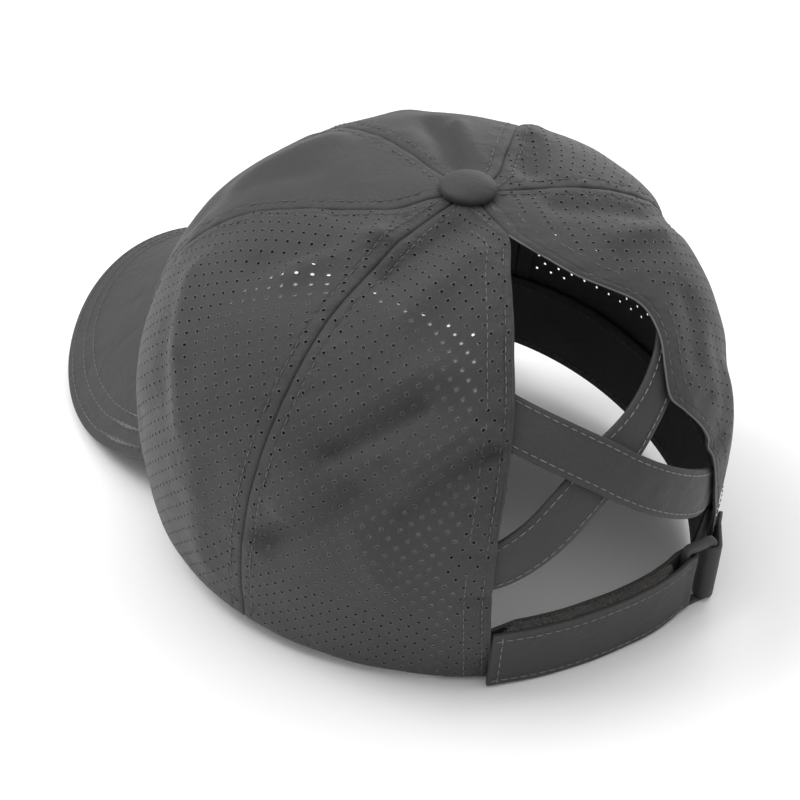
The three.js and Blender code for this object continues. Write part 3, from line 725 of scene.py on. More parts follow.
def thread_material(name, colour):
    """Twisted thread, lighter on its crowns."""
    if name in bpy.data.materials:
        return bpy.data.materials[name]
    material, w, shader = new_material(name)
    fibre = w.noise(w.node("ShaderNodeTexCoord").outputs["Object"], 900.0, 2.0)
    w.feed(w.between(fibre, toned(colour, 0.75), toned(colour, 1.25)), shader["Base Color"])
    w.feed(w.bump(fibre, 0.4, 0.0001), shader["Normal"])
    shader["Roughness"].default_value = 0.6
    shader["Sheen Weight"].default_value = 0.3
    return material


def tape_material(name, colour):
    """Brown-black fastening tape, speckled where its pile catches the light."""
    if name in bpy.data.materials:
        return bpy.data.materials[name]
    material, w, shader = new_material(name)
    speckle = w.noise(w.node("ShaderNodeTexCoord").outputs["Object"], 1400.0, 3.0)
    lift = w.math("POWER", speckle, 3.0)
    w.feed(w.between(lift, toned(colour, 1.0), toned(colour, 4.5)), shader["Base Color"])
    w.feed(w.bump(speckle, 0.9, 0.0004), shader["Normal"])
    shader["Roughness"].default_value = 0.85
    return material


def plastic_material(name, colour):
    """Moulded plastic with a fine grain and slightly uneven gloss."""
    if name in bpy.data.materials:
        return bpy.data.materials[name]
    material, w, shader = new_material(name)
    place = w.node("ShaderNodeTexCoord").outputs["Object"]
    grain = w.noise(place, 1800.0, 2.0)
    cloud = w.noise(place, 160.0, 2.0)
    w.feed(w.between(cloud, toned(colour, 0.85), toned(colour, 1.2)), shader["Base Color"])
    w.feed(w.bump(grain, 0.2, 0.0001), shader["Normal"])
    w.feed(w.math("MULTIPLY_ADD", cloud, 0.2, 0.32), shader["Roughness"])
    return material


def floor_material(name, colour):
    """A plain pale floor with a barely uneven tone."""
    material, w, shader = new_material(name)
    cloud = w.noise(w.node("ShaderNodeTexCoord").outputs["Object"], 3.0, 2.0)
    w.feed(w.between(cloud, toned(colour, 0.99), toned(colour, 1.01)), shader["Base Color"])
    shader["Roughness"].default_value = 0.9
    return material


def piece(name, mesh, slot, *nodes):
    """A finished piece of the cap, which rides on the frame and replaces its CAD nodes."""
    made = bpy.data.objects.new(name, mesh)
    bpy.context.collection.objects.link(made)
    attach(made, "root")
    if nodes:
        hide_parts(*nodes)
    return made


def mesh_of(name, points, faces, materials, uv=None, face_materials=None, sharp=50.0, marks=None):
    """A smooth mesh from points of the cap in mm, with pattern coordinates for each point."""
    mesh = bpy.data.meshes.new(name)
    mesh.from_pydata(in_frame(np.asarray(points, float)).tolist(), [], faces)
    for material in materials:
        mesh.materials.append(material)
    corners = np.zeros(len(mesh.loops), np.int32)
    mesh.loops.foreach_get("vertex_index", corners)
    if uv is not None:
        layer = mesh.uv_layers.new(name="pattern")
        layer.data.foreach_set("uv", np.asarray(uv, np.float32)[corners].ravel())
    if face_materials is not None:
        mesh.polygons.foreach_set("material_index", np.asarray(face_materials, np.int32))
    for label, values in (marks or {}).items():
        mark = mesh.attributes.new(label, "FLOAT", "POINT")
        mark.data.foreach_set("value", np.asarray(values, np.float32))
    mesh.polygons.foreach_set("use_smooth", np.ones(len(mesh.polygons), bool))
    mesh.update()
    mesh.set_sharp_from_angle(angle=math.radians(sharp))
    return mesh


def outward(points, faces):
    """The faces, turned over if they enclose a negative volume."""
    volume = 0.0
    for face in faces:
        a = points[face[0]]
        for b, c in zip(face[1:], face[2:]):
            volume += float(np.dot(a, np.cross(points[b], points[c])))
    return faces if volume > 0 else [tuple(reversed(face)) for face in faces]


def sweep(rings, closed=False):
    """Faces of a skin over rings of points, with flat ends unless the path is closed."""
    stations, around = rings.shape[:2]
    faces = []
    spans = stations if closed else stations - 1
    for i in range(spans):
        a = i * around
        b = ((i + 1) % stations) * around
        for k in range(around):
            n = (k + 1) % around
            faces.append((a + k, b + k, b + n, a + n))
    if not closed:
        faces.append(tuple(range(around)))
        last = (stations - 1) * around
        faces.append(tuple(last + k for k in reversed(range(around))))
    points = rings.reshape(-1, 3)
    return points, outward(points, faces)


def grown(base, tree, values):
    """The plain mesh that a node tree makes from a base mesh."""
    helper = bpy.data.objects.new("helper", base)
    bpy.context.collection.objects.link(helper)
    modifier = helper.modifiers.new("nodes", "NODES")
    modifier.node_group = tree
    for item in tree.interface.items_tree:
        if item.item_type == "SOCKET" and item.in_out == "INPUT" and item.name in values:
            modifier[item.identifier] = values[item.name]
    helper.update_tag()
    shown = helper.evaluated_get(bpy.context.evaluated_depsgraph_get())
    mesh = bpy.data.meshes.new_from_object(shown)
    bpy.data.objects.remove(helper)
    return mesh


def finish_tree(w, end, shape, material, merge=None):
    """Ends a tree: what it placed is made real, merged where asked, and given its material."""
    shape = w.fit("GeometryNodeRealizeInstances", {0: shape})
    if merge is not None:
        shape = w.fit("GeometryNodeMergeByDistance", {"Geometry": shape, "Distance": merge})
    clad = w.fit("GeometryNodeSetMaterial", {"Geometry": shape, "Material": material})
    w.feed(clad, end[0])


def punched_cloth_tree():
    """Flat cloth made of square cells, each with a round hole where its point is marked."""
    name = "Punched Cloth"
    if name in bpy.data.node_groups:
        return bpy.data.node_groups[name]
    tree, w, start, end = new_tree(
        name,
        "GeometryNodeTree",
        {
            "Geometry": "Geometry",
            "Hole Spacing": 0.0038,
            "Hole Diameter": 0.0012,
            "Row Turn": 0.785,
            "Cloth": "Material",
        },
        {"Geometry": "Geometry"},
    )
    half = w.math("MULTIPLY", start["Hole Spacing"], 0.5)
    hole = w.math("MULTIPLY", start["Hole Diameter"], 0.5)
    punched = w.fit("GeometryNodeInputNamedAttribute", {"Name": "punched"}, data_type="FLOAT")
    marked = w.math("GREATER_THAN", punched, 0.5)
    turn = w.vector(None, None, start["Row Turn"])

    def cells(shape, inner, chosen, rim=False):
        """Cells at the chosen points, with what lies beyond the inner radius moved out square."""
        place = w.node("GeometryNodeInputPosition").outputs[0]
        split = w.node("ShaderNodeSeparateXYZ")
        w.feed(place, split.inputs[0])
        sides = [w.math("ABSOLUTE", split.outputs[k]) for k in (0, 1)]
        scale = w.math("DIVIDE", half, w.math("MAXIMUM", w.math("MAXIMUM", *sides), 1e-7))
        moved = w.fit("ShaderNodeVectorMath", {0: place, "Scale": scale}, operation="SCALE")
        length = w.fit("ShaderNodeVectorMath", {0: place}, result=1, operation="LENGTH")
        outer = w.math("GREATER_THAN", length, w.math("MULTIPLY", inner, 1.05))
        if rim:
            shape = w.fit(
                "GeometryNodeStoreNamedAttribute",
                {"Geometry": shape, "Name": "hole_rim", "Value": w.math("SUBTRACT", 1.0, outer)},
                data_type="FLOAT",
                domain="POINT",
            )
        given = {"Geometry": shape, "Selection": outer, "Position": moved}
        square = w.fit("GeometryNodeSetPosition", given)
        given = {"Points": start["Geometry"], "Selection": chosen, "Instance": square, "Rotation": turn}
        return w.fit("GeometryNodeInstanceOnPoints", given)

    given = {"Vertices": 8, "Radius Top": hole, "Radius Bottom": half, "Depth": 1e-6}
    ring = w.fit("GeometryNodeMeshCone", given, fill_type="NONE")
    given = {"Vertices": 8, "Radius": half}
    flat = w.fit("GeometryNodeMeshCircle", given, fill_type="TRIANGLE_FAN")
    both = w.node("GeometryNodeJoinGeometry")
    plain = cells(flat, w.math("MULTIPLY", hole, 0.01), w.math("SUBTRACT", 1.0, marked))
    w.feed(plain, both.inputs[0])
    w.feed(cells(ring, hole, marked, rim=True), both.inputs[0])
    finish_tree(w, end, both.outputs[0], start["Cloth"], merge=0.00012)
    return tree


def stitch_tree():
    """Stitches laid along lines that carry the direction out of the cloth."""
    name = "Stitch Rows"
    if name in bpy.data.node_groups:
        return bpy.data.node_groups[name]
    tree, w, start, end = new_tree(
        name,
        "GeometryNodeTree",
        {
            "Geometry": "Geometry",
            "Stitch Spacing": 0.0027,
            "Stitch Length": 0.002,
            "Thread Width": 0.0005,
            "Unevenness": 0.12,
            "Seed": 1,
            "Thread": "Material",
        },
        {"Geometry": "Geometry"},
    )
    curve = w.fit("GeometryNodeMeshToCurve", {0: start["Geometry"]})
    given = {"Curve": curve, "Length": start["Stitch Spacing"]}
    spaced = w.fit("GeometryNodeResampleCurve", given, mode="LENGTH")
    out = w.fit("GeometryNodeInputNamedAttribute", {"Name": "out"}, data_type="FLOAT_VECTOR")
    facing = w.fit("FunctionNodeAlignRotationToVector", {"Vector": out}, axis="Z")
    given = {"Rotation": facing, "Vector": w.node("GeometryNodeInputTangent").outputs[0]}
    turned = w.fit("FunctionNodeAlignRotationToVector", given, axis="X", pivot_axis="Z")
    ball = w.fit("GeometryNodeMeshUVSphere", {"Segments": 6, "Rings": 6, "Radius": 0.5})
    lying = w.fit("GeometryNodeTransform", {"Geometry": ball, "Rotation": (0.0, math.pi / 2, 0.0)})
    size = w.vector(start["Stitch Length"], start["Thread Width"], start["Thread Width"])
    vary = w.node("FunctionNodeRandomValue", data_type="FLOAT")
    w.feed(w.math("SUBTRACT", 1.0, start["Unevenness"]), vary.inputs[2])
    w.feed(w.math("ADD", 1.0, start["Unevenness"]), vary.inputs[3])
    w.feed(start["Seed"], vary.inputs["Seed"])
    given = {0: size, "Scale": vary.outputs[1]}
    scale = w.fit("ShaderNodeVectorMath", given, operation="SCALE")
    given = {"Points": spaced, "Instance": lying, "Rotation": turned, "Scale": scale}
    finish_tree(w, end, w.fit("GeometryNodeInstanceOnPoints", given), start["Thread"])
    return tree


def bristle_tree():
    """Short hooked fibres standing on points that carry the direction out of the tape."""
    tree, w, start, end = new_tree(
        "Tape Fibres",
        "GeometryNodeTree",
        {"Geometry": "Geometry", "Fibre Length": 0.0011, "Lean": 0.7, "Seed": 3, "Tape": "Material"},
        {"Geometry": "Geometry"},
    )
    bend = {"Start": (0.0, 0.0, 0.0), "Middle": (0.0, 0.0, 1.1), "End": (0.75, 0.0, 0.85)}
    arc = w.fit("GeometryNodeCurveQuadraticBezier", {"Resolution": 4, **bend})
    given = {"Resolution": 3, "Radius": 0.11}
    thin = w.fit("GeometryNodeCurvePrimitiveCircle", given, mode="RADIUS")
    fibre = w.fit("GeometryNodeCurveToMesh", {0: arc, 1: thin})
    out = w.fit("GeometryNodeInputNamedAttribute", {"Name": "out"}, data_type="FLOAT_VECTOR")
    facing = w.fit("FunctionNodeAlignRotationToVector", {"Vector": out}, axis="Z")
    tilt = w.node("FunctionNodeRandomValue", data_type="FLOAT_VECTOR")
    back = w.math("MULTIPLY", start["Lean"], -1.0)
    w.feed(w.vector(back, back, 0.0), tilt.inputs[0])
    w.feed(w.vector(start["Lean"], start["Lean"], 6.283), tilt.inputs[1])
    w.feed(start["Seed"], tilt.inputs["Seed"])
    given = {0: facing, 1: tilt.outputs[0]}
    turned = w.fit("FunctionNodeRotateRotation", given, rotation_space="LOCAL")
    given = {"Points": start["Geometry"], "Instance": fibre, "Rotation": turned}
    placed = w.fit("GeometryNodeInstanceOnPoints", {**given, "Scale": start["Fibre Length"]})
    finish_tree(w, end, placed, start["Tape"])
    return tree


def colour_setting(name, description, default):
    return FloatVectorProperty(
        name=name,
        description=description,
        subtype="COLOR",
        size=3,
        min=0.0,
        max=1.0,
        default=default,
    )


def length_setting(name, description, default, low, high):
    return FloatProperty(
        name=name,
        description=description,
        subtype="DISTANCE",
        unit="LENGTH",
        min=low,
        max=high,
        default=default,
    )


def power_setting(name, description, default):
    return FloatProperty(
        name=name,
        description=description,
        subtype="POWER",
        unit="POWER",
        min=0.0,
        default=default,
    )


class CapClothSettings(bpy.types.PropertyGroup):
    colour: colour_setting(
        "Cloth Colour", "Charcoal of the crown, the peak and the straps", (0.033, 0.033, 0.0342)
    )
    inside_colour: colour_setting(
        "Inside Colour", "Colour of the crown's inner side and its band", (0.045, 0.045, 0.046)
    )
    # Painted highlight: this lighter colour stands for the light caught by the opening's folded right
    # edge.
    fold_highlight_colour: colour_setting(
        "Fold Highlight Colour", "Painted highlight along the opening's folded right edge", (0.12, 0.12, 0.122)
    )
    thickness: length_setting(
        "Cloth Thickness", "Thickness of the crown's cloth", 0.00038, 0.0002, 0.0012
    )
    seam_depth: length_setting(
        "Seam Depth", "How deep the seams between the panels lie", 0.0005, 0.0, 0.0015
    )


class CapPunchSettings(bpy.types.PropertyGroup):
    spacing: length_setting(
        "Hole Spacing", "Distance between neighbouring holes", 0.0038, 0.003, 0.008
    )
    diameter: length_setting("Hole Diameter", "Diameter of each hole", 0.00102, 0.0005, 0.0025)
    margin: length_setting(
        "Edge Margin", "Least distance from a hole's rim to a seam", 0.0006, 0.0, 0.005
    )


class CapStitchSettings(bpy.types.PropertyGroup):
    spacing: length_setting(
        "Stitch Spacing", "Distance from one stitch to the next", 0.003, 0.0015, 0.006
    )
    length: length_setting(
        "Stitch Length", "Length of each stitch that shows", 0.0024, 0.001, 0.005
    )
    width: length_setting("Thread Width", "Thickness of the thread", 0.00034, 0.0002, 0.001)
    row_distance: length_setting(
        "Row Distance", "Distance of each stitch row from its seam", 0.004, 0.001, 0.008
    )
    seed: IntProperty(name="Seed", description="Seed of the stitches' unevenness", min=0, default=4)
    colour: colour_setting(
        "Thread Colour", "Colour of the stitching on the crown", (0.085, 0.085, 0.086)
    )
    strap_colour: colour_setting(
        "Strap Thread Colour", "Colour of the lighter stitching on the straps", (0.15, 0.146, 0.14)
    )


class CapFasteningSettings(bpy.types.PropertyGroup):
    tape_colour: colour_setting(
        "Tape Colour", "Colour of the hook and loop tapes", (0.03, 0.024, 0.02)
    )
    fibre_colour: colour_setting(
        "Fibre Colour", "Colour of the tapes' fibres where they catch the light", (0.12, 0.112, 0.1)
    )
    ring_colour: colour_setting("Ring Colour", "Colour of the plastic ring", (0.045, 0.046, 0.05))
    fibre_length: length_setting(
        "Fibre Length", "Length of the tapes' fibres", 0.0011, 0.0003, 0.003
    )
    seed: IntProperty(name="Seed", description="Seed of the fibres' lean", min=0, default=3)


class CapStageSettings(bpy.types.PropertyGroup):
    floor_colour: colour_setting("Floor Colour", "Colour of the studio floor", (0.97, 0.97, 0.97))
    world_light: FloatProperty(
        name="Room Light", description="Strength of the light all round", min=0.0, default=0.68
    )
    key_light: power_setting("Key Light", "Power of the large light above", 17.0)
    front_light: power_setting("Front Light", "Power of the low light before the peak", 9.0)
    top_light: power_setting("Top Light", "Power of the wide light overhead", 20.0)


def cloth():
    return cloth_material("charcoal_cloth", bpy.context.scene.cap_cloth.colour)


def crown_cloth():
    return cloth_material("charcoal_crown_cloth", bpy.context.scene.cap_cloth.colour, crown=True)


def inside_cloth():
    colour = bpy.context.scene.cap_cloth.inside_colour
    return cloth_material("dark_inside_cloth", colour, roughness=0.85, sheen=0.03)


def flat_cells(pattern, spacing, turn, origin, punched_from, clear):
    """Centres of the square cells that cover a pattern, marked where a hole is punched."""
    top = pattern.heights[-1]
    reach = int(1.3 * top / spacing)
    a = math.radians(turn)
    steps = np.arange(-reach, reach + 1)
    i, j = [grid.ravel() for grid in np.meshgrid(steps, steps)]
    u = origin[0] + spacing * (i * math.cos(a) - j * math.sin(a))
    v = origin[1] + spacing * (i * math.sin(a) + j * math.cos(a))
    inside = np.clip(v, 0, top)
    left = u - pattern.edge(pattern.first, inside)
    right = pattern.edge(pattern.last, inside) - u
    near = 1.8 * spacing
    keep = (left > -near) & (right > -near) & (v > -near) & (v < top - 2)
    lowest = top if punched_from is None else punched_from[0] + punched_from[1] * u
    if pattern.last == "open_right":
        right = right - PLAIN_EDGE
    holes = (left > clear) & (right > clear) & (v > lowest) & (v < top - 8)
    flags = np.where(holes, 1.0, 0.0)
    return np.stack([u[keep], v[keep], 0 * u[keep]], -1), flags[keep]


def cut_to_pattern(mesh, pattern, top):
    """Cuts flat cloth along the pattern's edges and scores it beside them."""
    bm = bmesh.new()
    bm.from_mesh(mesh)
    bmesh.ops.scale(bm, vec=(1000, 1000, 0), verts=bm.verts)

    def slide(name, sign):
        heights = np.array([v.co.y for v in bm.verts])
        edge = pattern.edge(name, np.clip(heights, 0, pattern.heights[-1]))
        for v, x in zip(bm.verts, sign * edge):
            v.co.x += x

    def slice_at(at, axis, clear=0):
        place = [0, 0, 0]
        place[axis] = at
        normal = [0, 0, 0]
        normal[axis] = 1
        bmesh.ops.bisect_plane(
            bm,
            geom=bm.verts[:] + bm.edges[:] + bm.faces[:],
            dist=1e-4,
            plane_co=place,
            plane_no=normal,
            clear_inner=clear < 0,
            clear_outer=clear > 0,
        )

    slice_at(0, 1, -1)
    slice_at(top, 1, 1)
    slice_at(0.8, 1)
    for name, way in ((pattern.first, 1), (pattern.last, -1)):
        slide(name, -1)
        slice_at(0, 0, -way)
        for score in (0.3, 0.9):
            slice_at(way * score, 0)
        slide(name, 1)
    bmesh.ops.remove_doubles(bm, verts=bm.verts, dist=0.04)
    loose = [v for v in bm.verts if not v.link_faces]
    bmesh.ops.delete(bm, geom=loose, context="VERTS")
    bm.verts.ensure_lookup_table()
    bm.verts.index_update()
    flat = np.array([v.co.to_tuple() for v in bm.verts])[:, :2]
    mark = bm.verts.layers.float.get("hole_rim")
    rims = np.array([v[mark] for v in bm.verts]) if mark else np.zeros(len(flat))
    faces = [tuple(v.index for v in f.verts) for f in bm.faces]
    rim = [
        (e.link_loops[0].vert.index, e.link_loops[0].link_loop_next.vert.index)
        for e in bm.edges
        if len(e.link_faces) == 1
    ]
    bm.free()
    return flat, faces, rim, rims


def panel_mesh(name, settings, punch):
    """One crown panel: punched flat, cut to its pattern, and formed on the crown."""
    first, last, punched_from, turn, origin = PANELS[name]
    pattern = Pattern(first, last)
    spacing = punch.spacing * 1000
    clear = punch.diameter * 500 + punch.margin * 1000
    centres, flags = flat_cells(pattern, spacing, turn, origin, punched_from, clear)
    base = bpy.data.meshes.new(name + "_cells")
    base.from_pydata((centres / 1000).tolist(), [], [])
    mark = base.attributes.new("punched", "FLOAT", "POINT")
    mark.data.foreach_set("value", flags.astype(np.float32))
    values = {
        "Hole Spacing": punch.spacing,
        "Hole Diameter": punch.diameter,
        "Row Turn": math.radians(turn),
        "Cloth": crown_cloth(),
    }
    flat_mesh = grown(base, punched_cloth_tree(), values)
    flat, faces, rim, rims = cut_to_pattern(flat_mesh, pattern, pattern.top(BUTTON_CUT))
    bpy.data.meshes.remove(flat_mesh)

    u, v = flat[:, 0], flat[:, 1]
    azimuth, rise = pattern.on_crown(u, v)
    to_first = np.maximum(u - pattern.edge(first, v), 0)
    to_last = np.maximum(pattern.edge(last, v) - u, 0)
    seam = np.full(len(u), 99.0)
    edge = np.full(len(u), 99.0)
    for label, distance in ((first, to_first), (last, to_last)):
        if label.startswith("open"):
            shut = np.degrees(rise) > OPENING_TOP
            seam = np.where(shut, np.minimum(seam, distance), seam)
            edge = np.where(shut, edge, np.minimum(edge, distance))
        else:
            seam = np.minimum(seam, distance)
    outer = skin(azimuth, rise)
    normal = normal_of(skin, azimuth, rise)
    push = -settings.seam_depth * 1000 * bell(seam, 0, GROOVE_WIDTH)
    push = push - EDGE_ROLL * bell(edge, 0, EDGE_ROLL)
    ripple = bell(seam, 3.5, 3.5) + bell(edge, 4, 5)
    beside = np.stack([0.3 * np.minimum(seam, edge), v, 0 * v], -1)
    push = push + PUCKER_DEPTH * ripple * wander(beside, 5, 2)
    for height, size, seed in SOFT_WAVES:
        push = push + height * wander(outer, size, seed)
    push = push - HEM_ROLL[0] * bell(v, 0, HEM_ROLL[1])
    outer = outer + normal * push[:, None]
    inner = outer - normal * settings.thickness * 1000
    count = len(u)
    lining = [tuple(count + k for k in reversed(f)) for f in faces]
    walls = [(b, a, a + count, b + count) for a, b in rim]
    points = np.concatenate([outer, inner])
    every = faces + lining + walls
    a, b, c = every[0][:3]
    if np.dot(np.cross(points[b] - points[a], points[c] - points[b]), normal[a]) < 0:
        every = [tuple(reversed(f)) for f in every]
    kinds = [0] * len(faces) + [1] * len(lining) + [0] * len(walls)
    return mesh_of(
        name + "_cloth",
        points,
        every,
        [crown_cloth(), inside_cloth()],
        uv=np.concatenate([flat] * 2),
        face_materials=kinds,
        sharp=38.0,
        marks={
            "seam_distance": np.concatenate([np.minimum(seam, edge + 1.4)] * 2),
            "hole_rim": np.concatenate([rims] * 2),
        },
    )


class CAP_OT_crown_panels(bpy.types.Operator):
    """Make the six crown panels, four of them of punched cloth"""

    bl_idname = "cap.crown_panels"
    bl_label = "Crown Panels"

    def execute(self, context):
        scene = context.scene
        for name, panel in PANELS.items():
            mesh = panel_mesh(name, scene.cap_cloth, scene.cap_punch)
            slot = "cloth" if panel[2] is None else "perforated_cloth"
            piece(name.replace("panel_", "") + "_panel_cloth", mesh, slot, name)
        return {"FINISHED"}


def rises_to_button(name, low, radius):
    """Rises along an edge, from low, in degrees, to where it comes within a radius of the apex."""
    rise = np.radians(np.concatenate([np.linspace(low, 86, 110), 90 - np.geomspace(3.9, 0.01, 60)]))
    place = base_crown(edge_azimuth(name, rise), rise)
    return rise[np.hypot(place[:, 0], place[:, 1] - APEX_BACK) > radius]


def strip_on_crown(azimuth, rise, side, profile):
    """Rings of a strip that follows a line on the crown. The profile holds, for each point, its
    distance to the side and its depth under the surface."""
    reach = mm_per_radian(azimuth, rise)
    rings = np.zeros((len(azimuth), len(profile), 3))
    for k, (across, depth) in enumerate(profile):
        a = azimuth + side * across / reach
        place = skin(a, rise)
        rings[:, k] = place - normal_of(skin, a, rise) * depth
    return rings


def band_profile(half, low, high):
    """A flat band's section with rounded edges, as distance across and depth."""
    middle = (low + high) / 2
    round_by = (high - low) / 2
    section = []
    for side, depth in ((1, low), (-1, high)):
        section += [(side * half * (2 * k / 6 - 1), depth) for k in range(7)]
        for k in (1, 2):
            a = math.pi * k / 3
            reach = half + round_by * math.sin(a) * 0.6
            section.append((side * reach, middle - side * round_by * math.cos(a)))
    return section


def join_rings(parts):
    """Points and faces of several swept strips together."""
    points = []
    faces = []
    base = 0
    for rings in parts:
        more, skins = sweep(rings)
        points.append(more)
        faces += [tuple(base + k for k in face) for face in skins]
        base += len(more)
    return np.concatenate(points), faces


def strip_uv(parts):
    """Pattern coordinates of swept strips: along the strip and round its section, in mm."""
    found = []
    for rings in parts:
        middle = rings.mean(axis=1)
        run = np.concatenate([[0], np.cumsum(np.linalg.norm(np.diff(middle, axis=0), axis=1))])
        first = rings[len(rings) // 2]
        steps = np.linalg.norm(np.diff(first, axis=0), axis=1)
        girth = np.concatenate([[0], np.cumsum(steps)])
        uv = np.zeros(rings.shape[:2] + (2,))
        uv[..., 0] = run[:, None]
        uv[..., 1] = girth[None, :]
        found.append(uv.reshape(-1, 2))
    return np.concatenate(found)


class CAP_OT_seam_allowances(bpy.types.Operator):
    """Make the panels' turned-under edges, which the double rows hold down inside"""

    bl_idname = "cap.seam_allowances"
    bl_label = "Seam Allowances"

    def execute(self, context):
        thickness = context.scene.cap_cloth.thickness * 1000
        parts = []
        low, high = (thickness + depth for depth in ALLOWANCE_DEPTHS)
        section = band_profile(ALLOWANCE_WIDTH / 2, low, high)
        for name in SEAM_NAMES:
            rise = rises_to_button(name, 2.0, ALLOWANCE_END)
            for side in (-1, 1):
                shifted = [(side * (x + ALLOWANCE_OFFSET), depth) for x, depth in section]
                parts.append(strip_on_crown(edge_azimuth(name, rise), rise, 1, shifted))
        points, faces = join_rings(parts)
        mesh = mesh_of("seam_allowances", points, faces, [inside_cloth()], uv=strip_uv(parts))
        piece("seam_allowances", mesh, "cloth")
        return {"FINISHED"}


class CAP_OT_opening_facings(bpy.types.Operator):
    """Make the facings folded round the edges of the rear opening"""

    bl_idname = "cap.opening_facings"
    bl_label = "Opening Facings"

    def execute(self, context):
        thickness = context.scene.cap_cloth.thickness * 1000
        near, far = (thickness + depth for depth in FACING_DEPTHS)
        section = [(10.4, near), (10.6, (thickness + far) / 2), (10.4, far)]
        section += [(x, far) for x in (8, 6, 4, 2, 0.9)]
        for k in range(9):
            a = math.pi * k / 8
            section.append((0.3 - 0.5 * math.sin(a), far / 2 + far / 2 * math.cos(a)))
        section += [(0.7, 0.14), (0.9, near), (4, near), (7, near)]
        rise = np.radians(np.linspace(0, OPENING_TOP, FACING_SPANS + 1))
        parts = []
        for name, side in OPENING_SIDES:
            parts.append(strip_on_crown(edge_azimuth(name, rise), rise, side, section))
        points, faces = join_rings(parts)
        # The faces at the fold of the right edge take the painted highlight's lighter cloth.
        span = [int(k in FOLD_HIGHLIGHT) for k in range(len(section))]
        kinds = [0] * (len(faces) // 2) + span * FACING_SPANS + [0, 0]
        pale = cloth_material("pale_fold_cloth", context.scene.cap_cloth.fold_highlight_colour)
        mesh = mesh_of(
            "opening_facings",
            points,
            faces,
            [cloth(), pale],
            uv=strip_uv(parts),
            face_materials=kinds,
        )
        piece("opening_facings", mesh, "cloth")
        return {"FINISHED"}


def row_on_crown(name, rise, distance):
    """A line of stitching beside an edge of the crown: its points and directions out."""
    azimuth = edge_azimuth(name, rise)
    azimuth = azimuth + distance / mm_per_radian(azimuth, rise)
    return skin(azimuth, rise), normal_of(skin, azimuth, rise)


def carrier(name, points, edges, directions):
    """A bare mesh of points in mm, each with its direction out of the cloth."""
    base = bpy.data.meshes.new(name)
    base.from_pydata(in_frame(np.array(points)).tolist(), edges, [])
    mark = base.attributes.new("out", "FLOAT_VECTOR", "POINT")
    out = turn_in_frame(np.array(directions))
    mark.data.foreach_set("vector", out.astype(np.float32).ravel())
    return base


def stitched(name, rows, thread, colour, slot="cloth"):
    """Stitches along rows, each given as its points and directions out."""
    stitch = bpy.context.scene.cap_stitch
    points = []
    directions = []
    edges = []
    for line, out in rows:
        base = len(points)
        points += (line + out * (stitch.width * 1000 * THREAD_LIFT)).tolist()
        directions += out.tolist()
        edges += [(base + k, base + k + 1) for k in range(len(line) - 1)]
    values = {
        "Stitch Spacing": stitch.spacing,
        "Stitch Length": stitch.length,
        "Thread Width": stitch.width,
        "Seed": stitch.seed,
        "Thread": thread_material(thread, colour),
    }
    mesh = grown(carrier(name + "_lines", points, edges, directions), stitch_tree(), values)
    mesh.name = name
    piece(name, mesh, slot)


class CAP_OT_crown_stitching(bpy.types.Operator):
    """Sew the double rows beside the seams and round the rear opening"""

    bl_idname = "cap.crown_stitching"
    bl_label = "Crown Stitching"

    def execute(self, context):
        stitch = context.scene.cap_stitch
        apart = stitch.row_distance * 1000
        rows = []
        for name in SEAM_NAMES:
            rise = rises_to_button(name, 1.5, SEAM_ROWS_END)
            for side in (-1, 1):
                rows.append(row_on_crown(name, rise, side * apart))
        for name, side in OPENING_SIDES:
            for distance, radius in OPENING_ROWS:
                rise = rises_to_button(name, 1.0, radius)
                rows.append(row_on_crown(name, rise, side * distance))
        stitched("crown_stitching", rows, "crown_thread", stitch.colour)
        return {"FINISHED"}


def peak_edge(s):
    """Root and outer edge of the peak in plan, for places s from one corner to the other."""
    azimuth = math.pi - s * math.radians(PEAK_HALF_ANGLE)
    bow = np.maximum(0, 1 - np.abs(s) ** PEAK_ROUND) ** PEAK_END_ROUND
    reach = PEAK_ROOT + PEAK_REACH * bow
    spread = PEAK_SPREAD * reach * np.sign(s) * s * s
    root = skin(azimuth, np.zeros_like(azimuth))
    out = normal_of(skin, azimuth, np.zeros_like(azimuth))
    out[..., 2] = 0
    root = root + unit(out) * 0.1
    return root, np.stack([root[..., 0] + spread, root[..., 1] - reach], -1)


def board_up(x):
    """Direction out of the peak's board."""
    corner = np.where(x > 0, LEFT_RADIUS, RIGHT_RADIUS) * math.sin(math.radians(PEAK_HALF_ANGLE))
    slope = 2 * PEAK_ARCH * x / corner**2
    dip = np.full_like(x, -math.tan(math.radians(PEAK_DIP)))
    return unit(np.stack([slope, dip, np.ones_like(x)], -1))


def folded_faces(rows, columns):
    """Faces of a grid folded over on itself: its top, its underside and the two narrow ends."""
    faces = []
    for i in range(rows - 1):
        for j in range(columns - 1):
            a = i * columns + j
            faces.append((a, a + 1, a + columns + 1, a + columns))
    for j in range(columns - 1):
        low = (rows - 1) * columns + j
        faces.append((j + 1, j, low, low + 1))
    for j in (0, columns - 1):
        loop = [i * columns + j for i in range(rows)]
        for i in range(rows // 2):
            a, b = loop[i], loop[i + 1]
            c, d = loop[rows - 2 - i], loop[rows - 1 - i]
            face = tuple(dict.fromkeys((a, d, c, b) if j == 0 else (a, b, c, d)))
            if len(face) > 2:
                faces.append(face)
    return faces


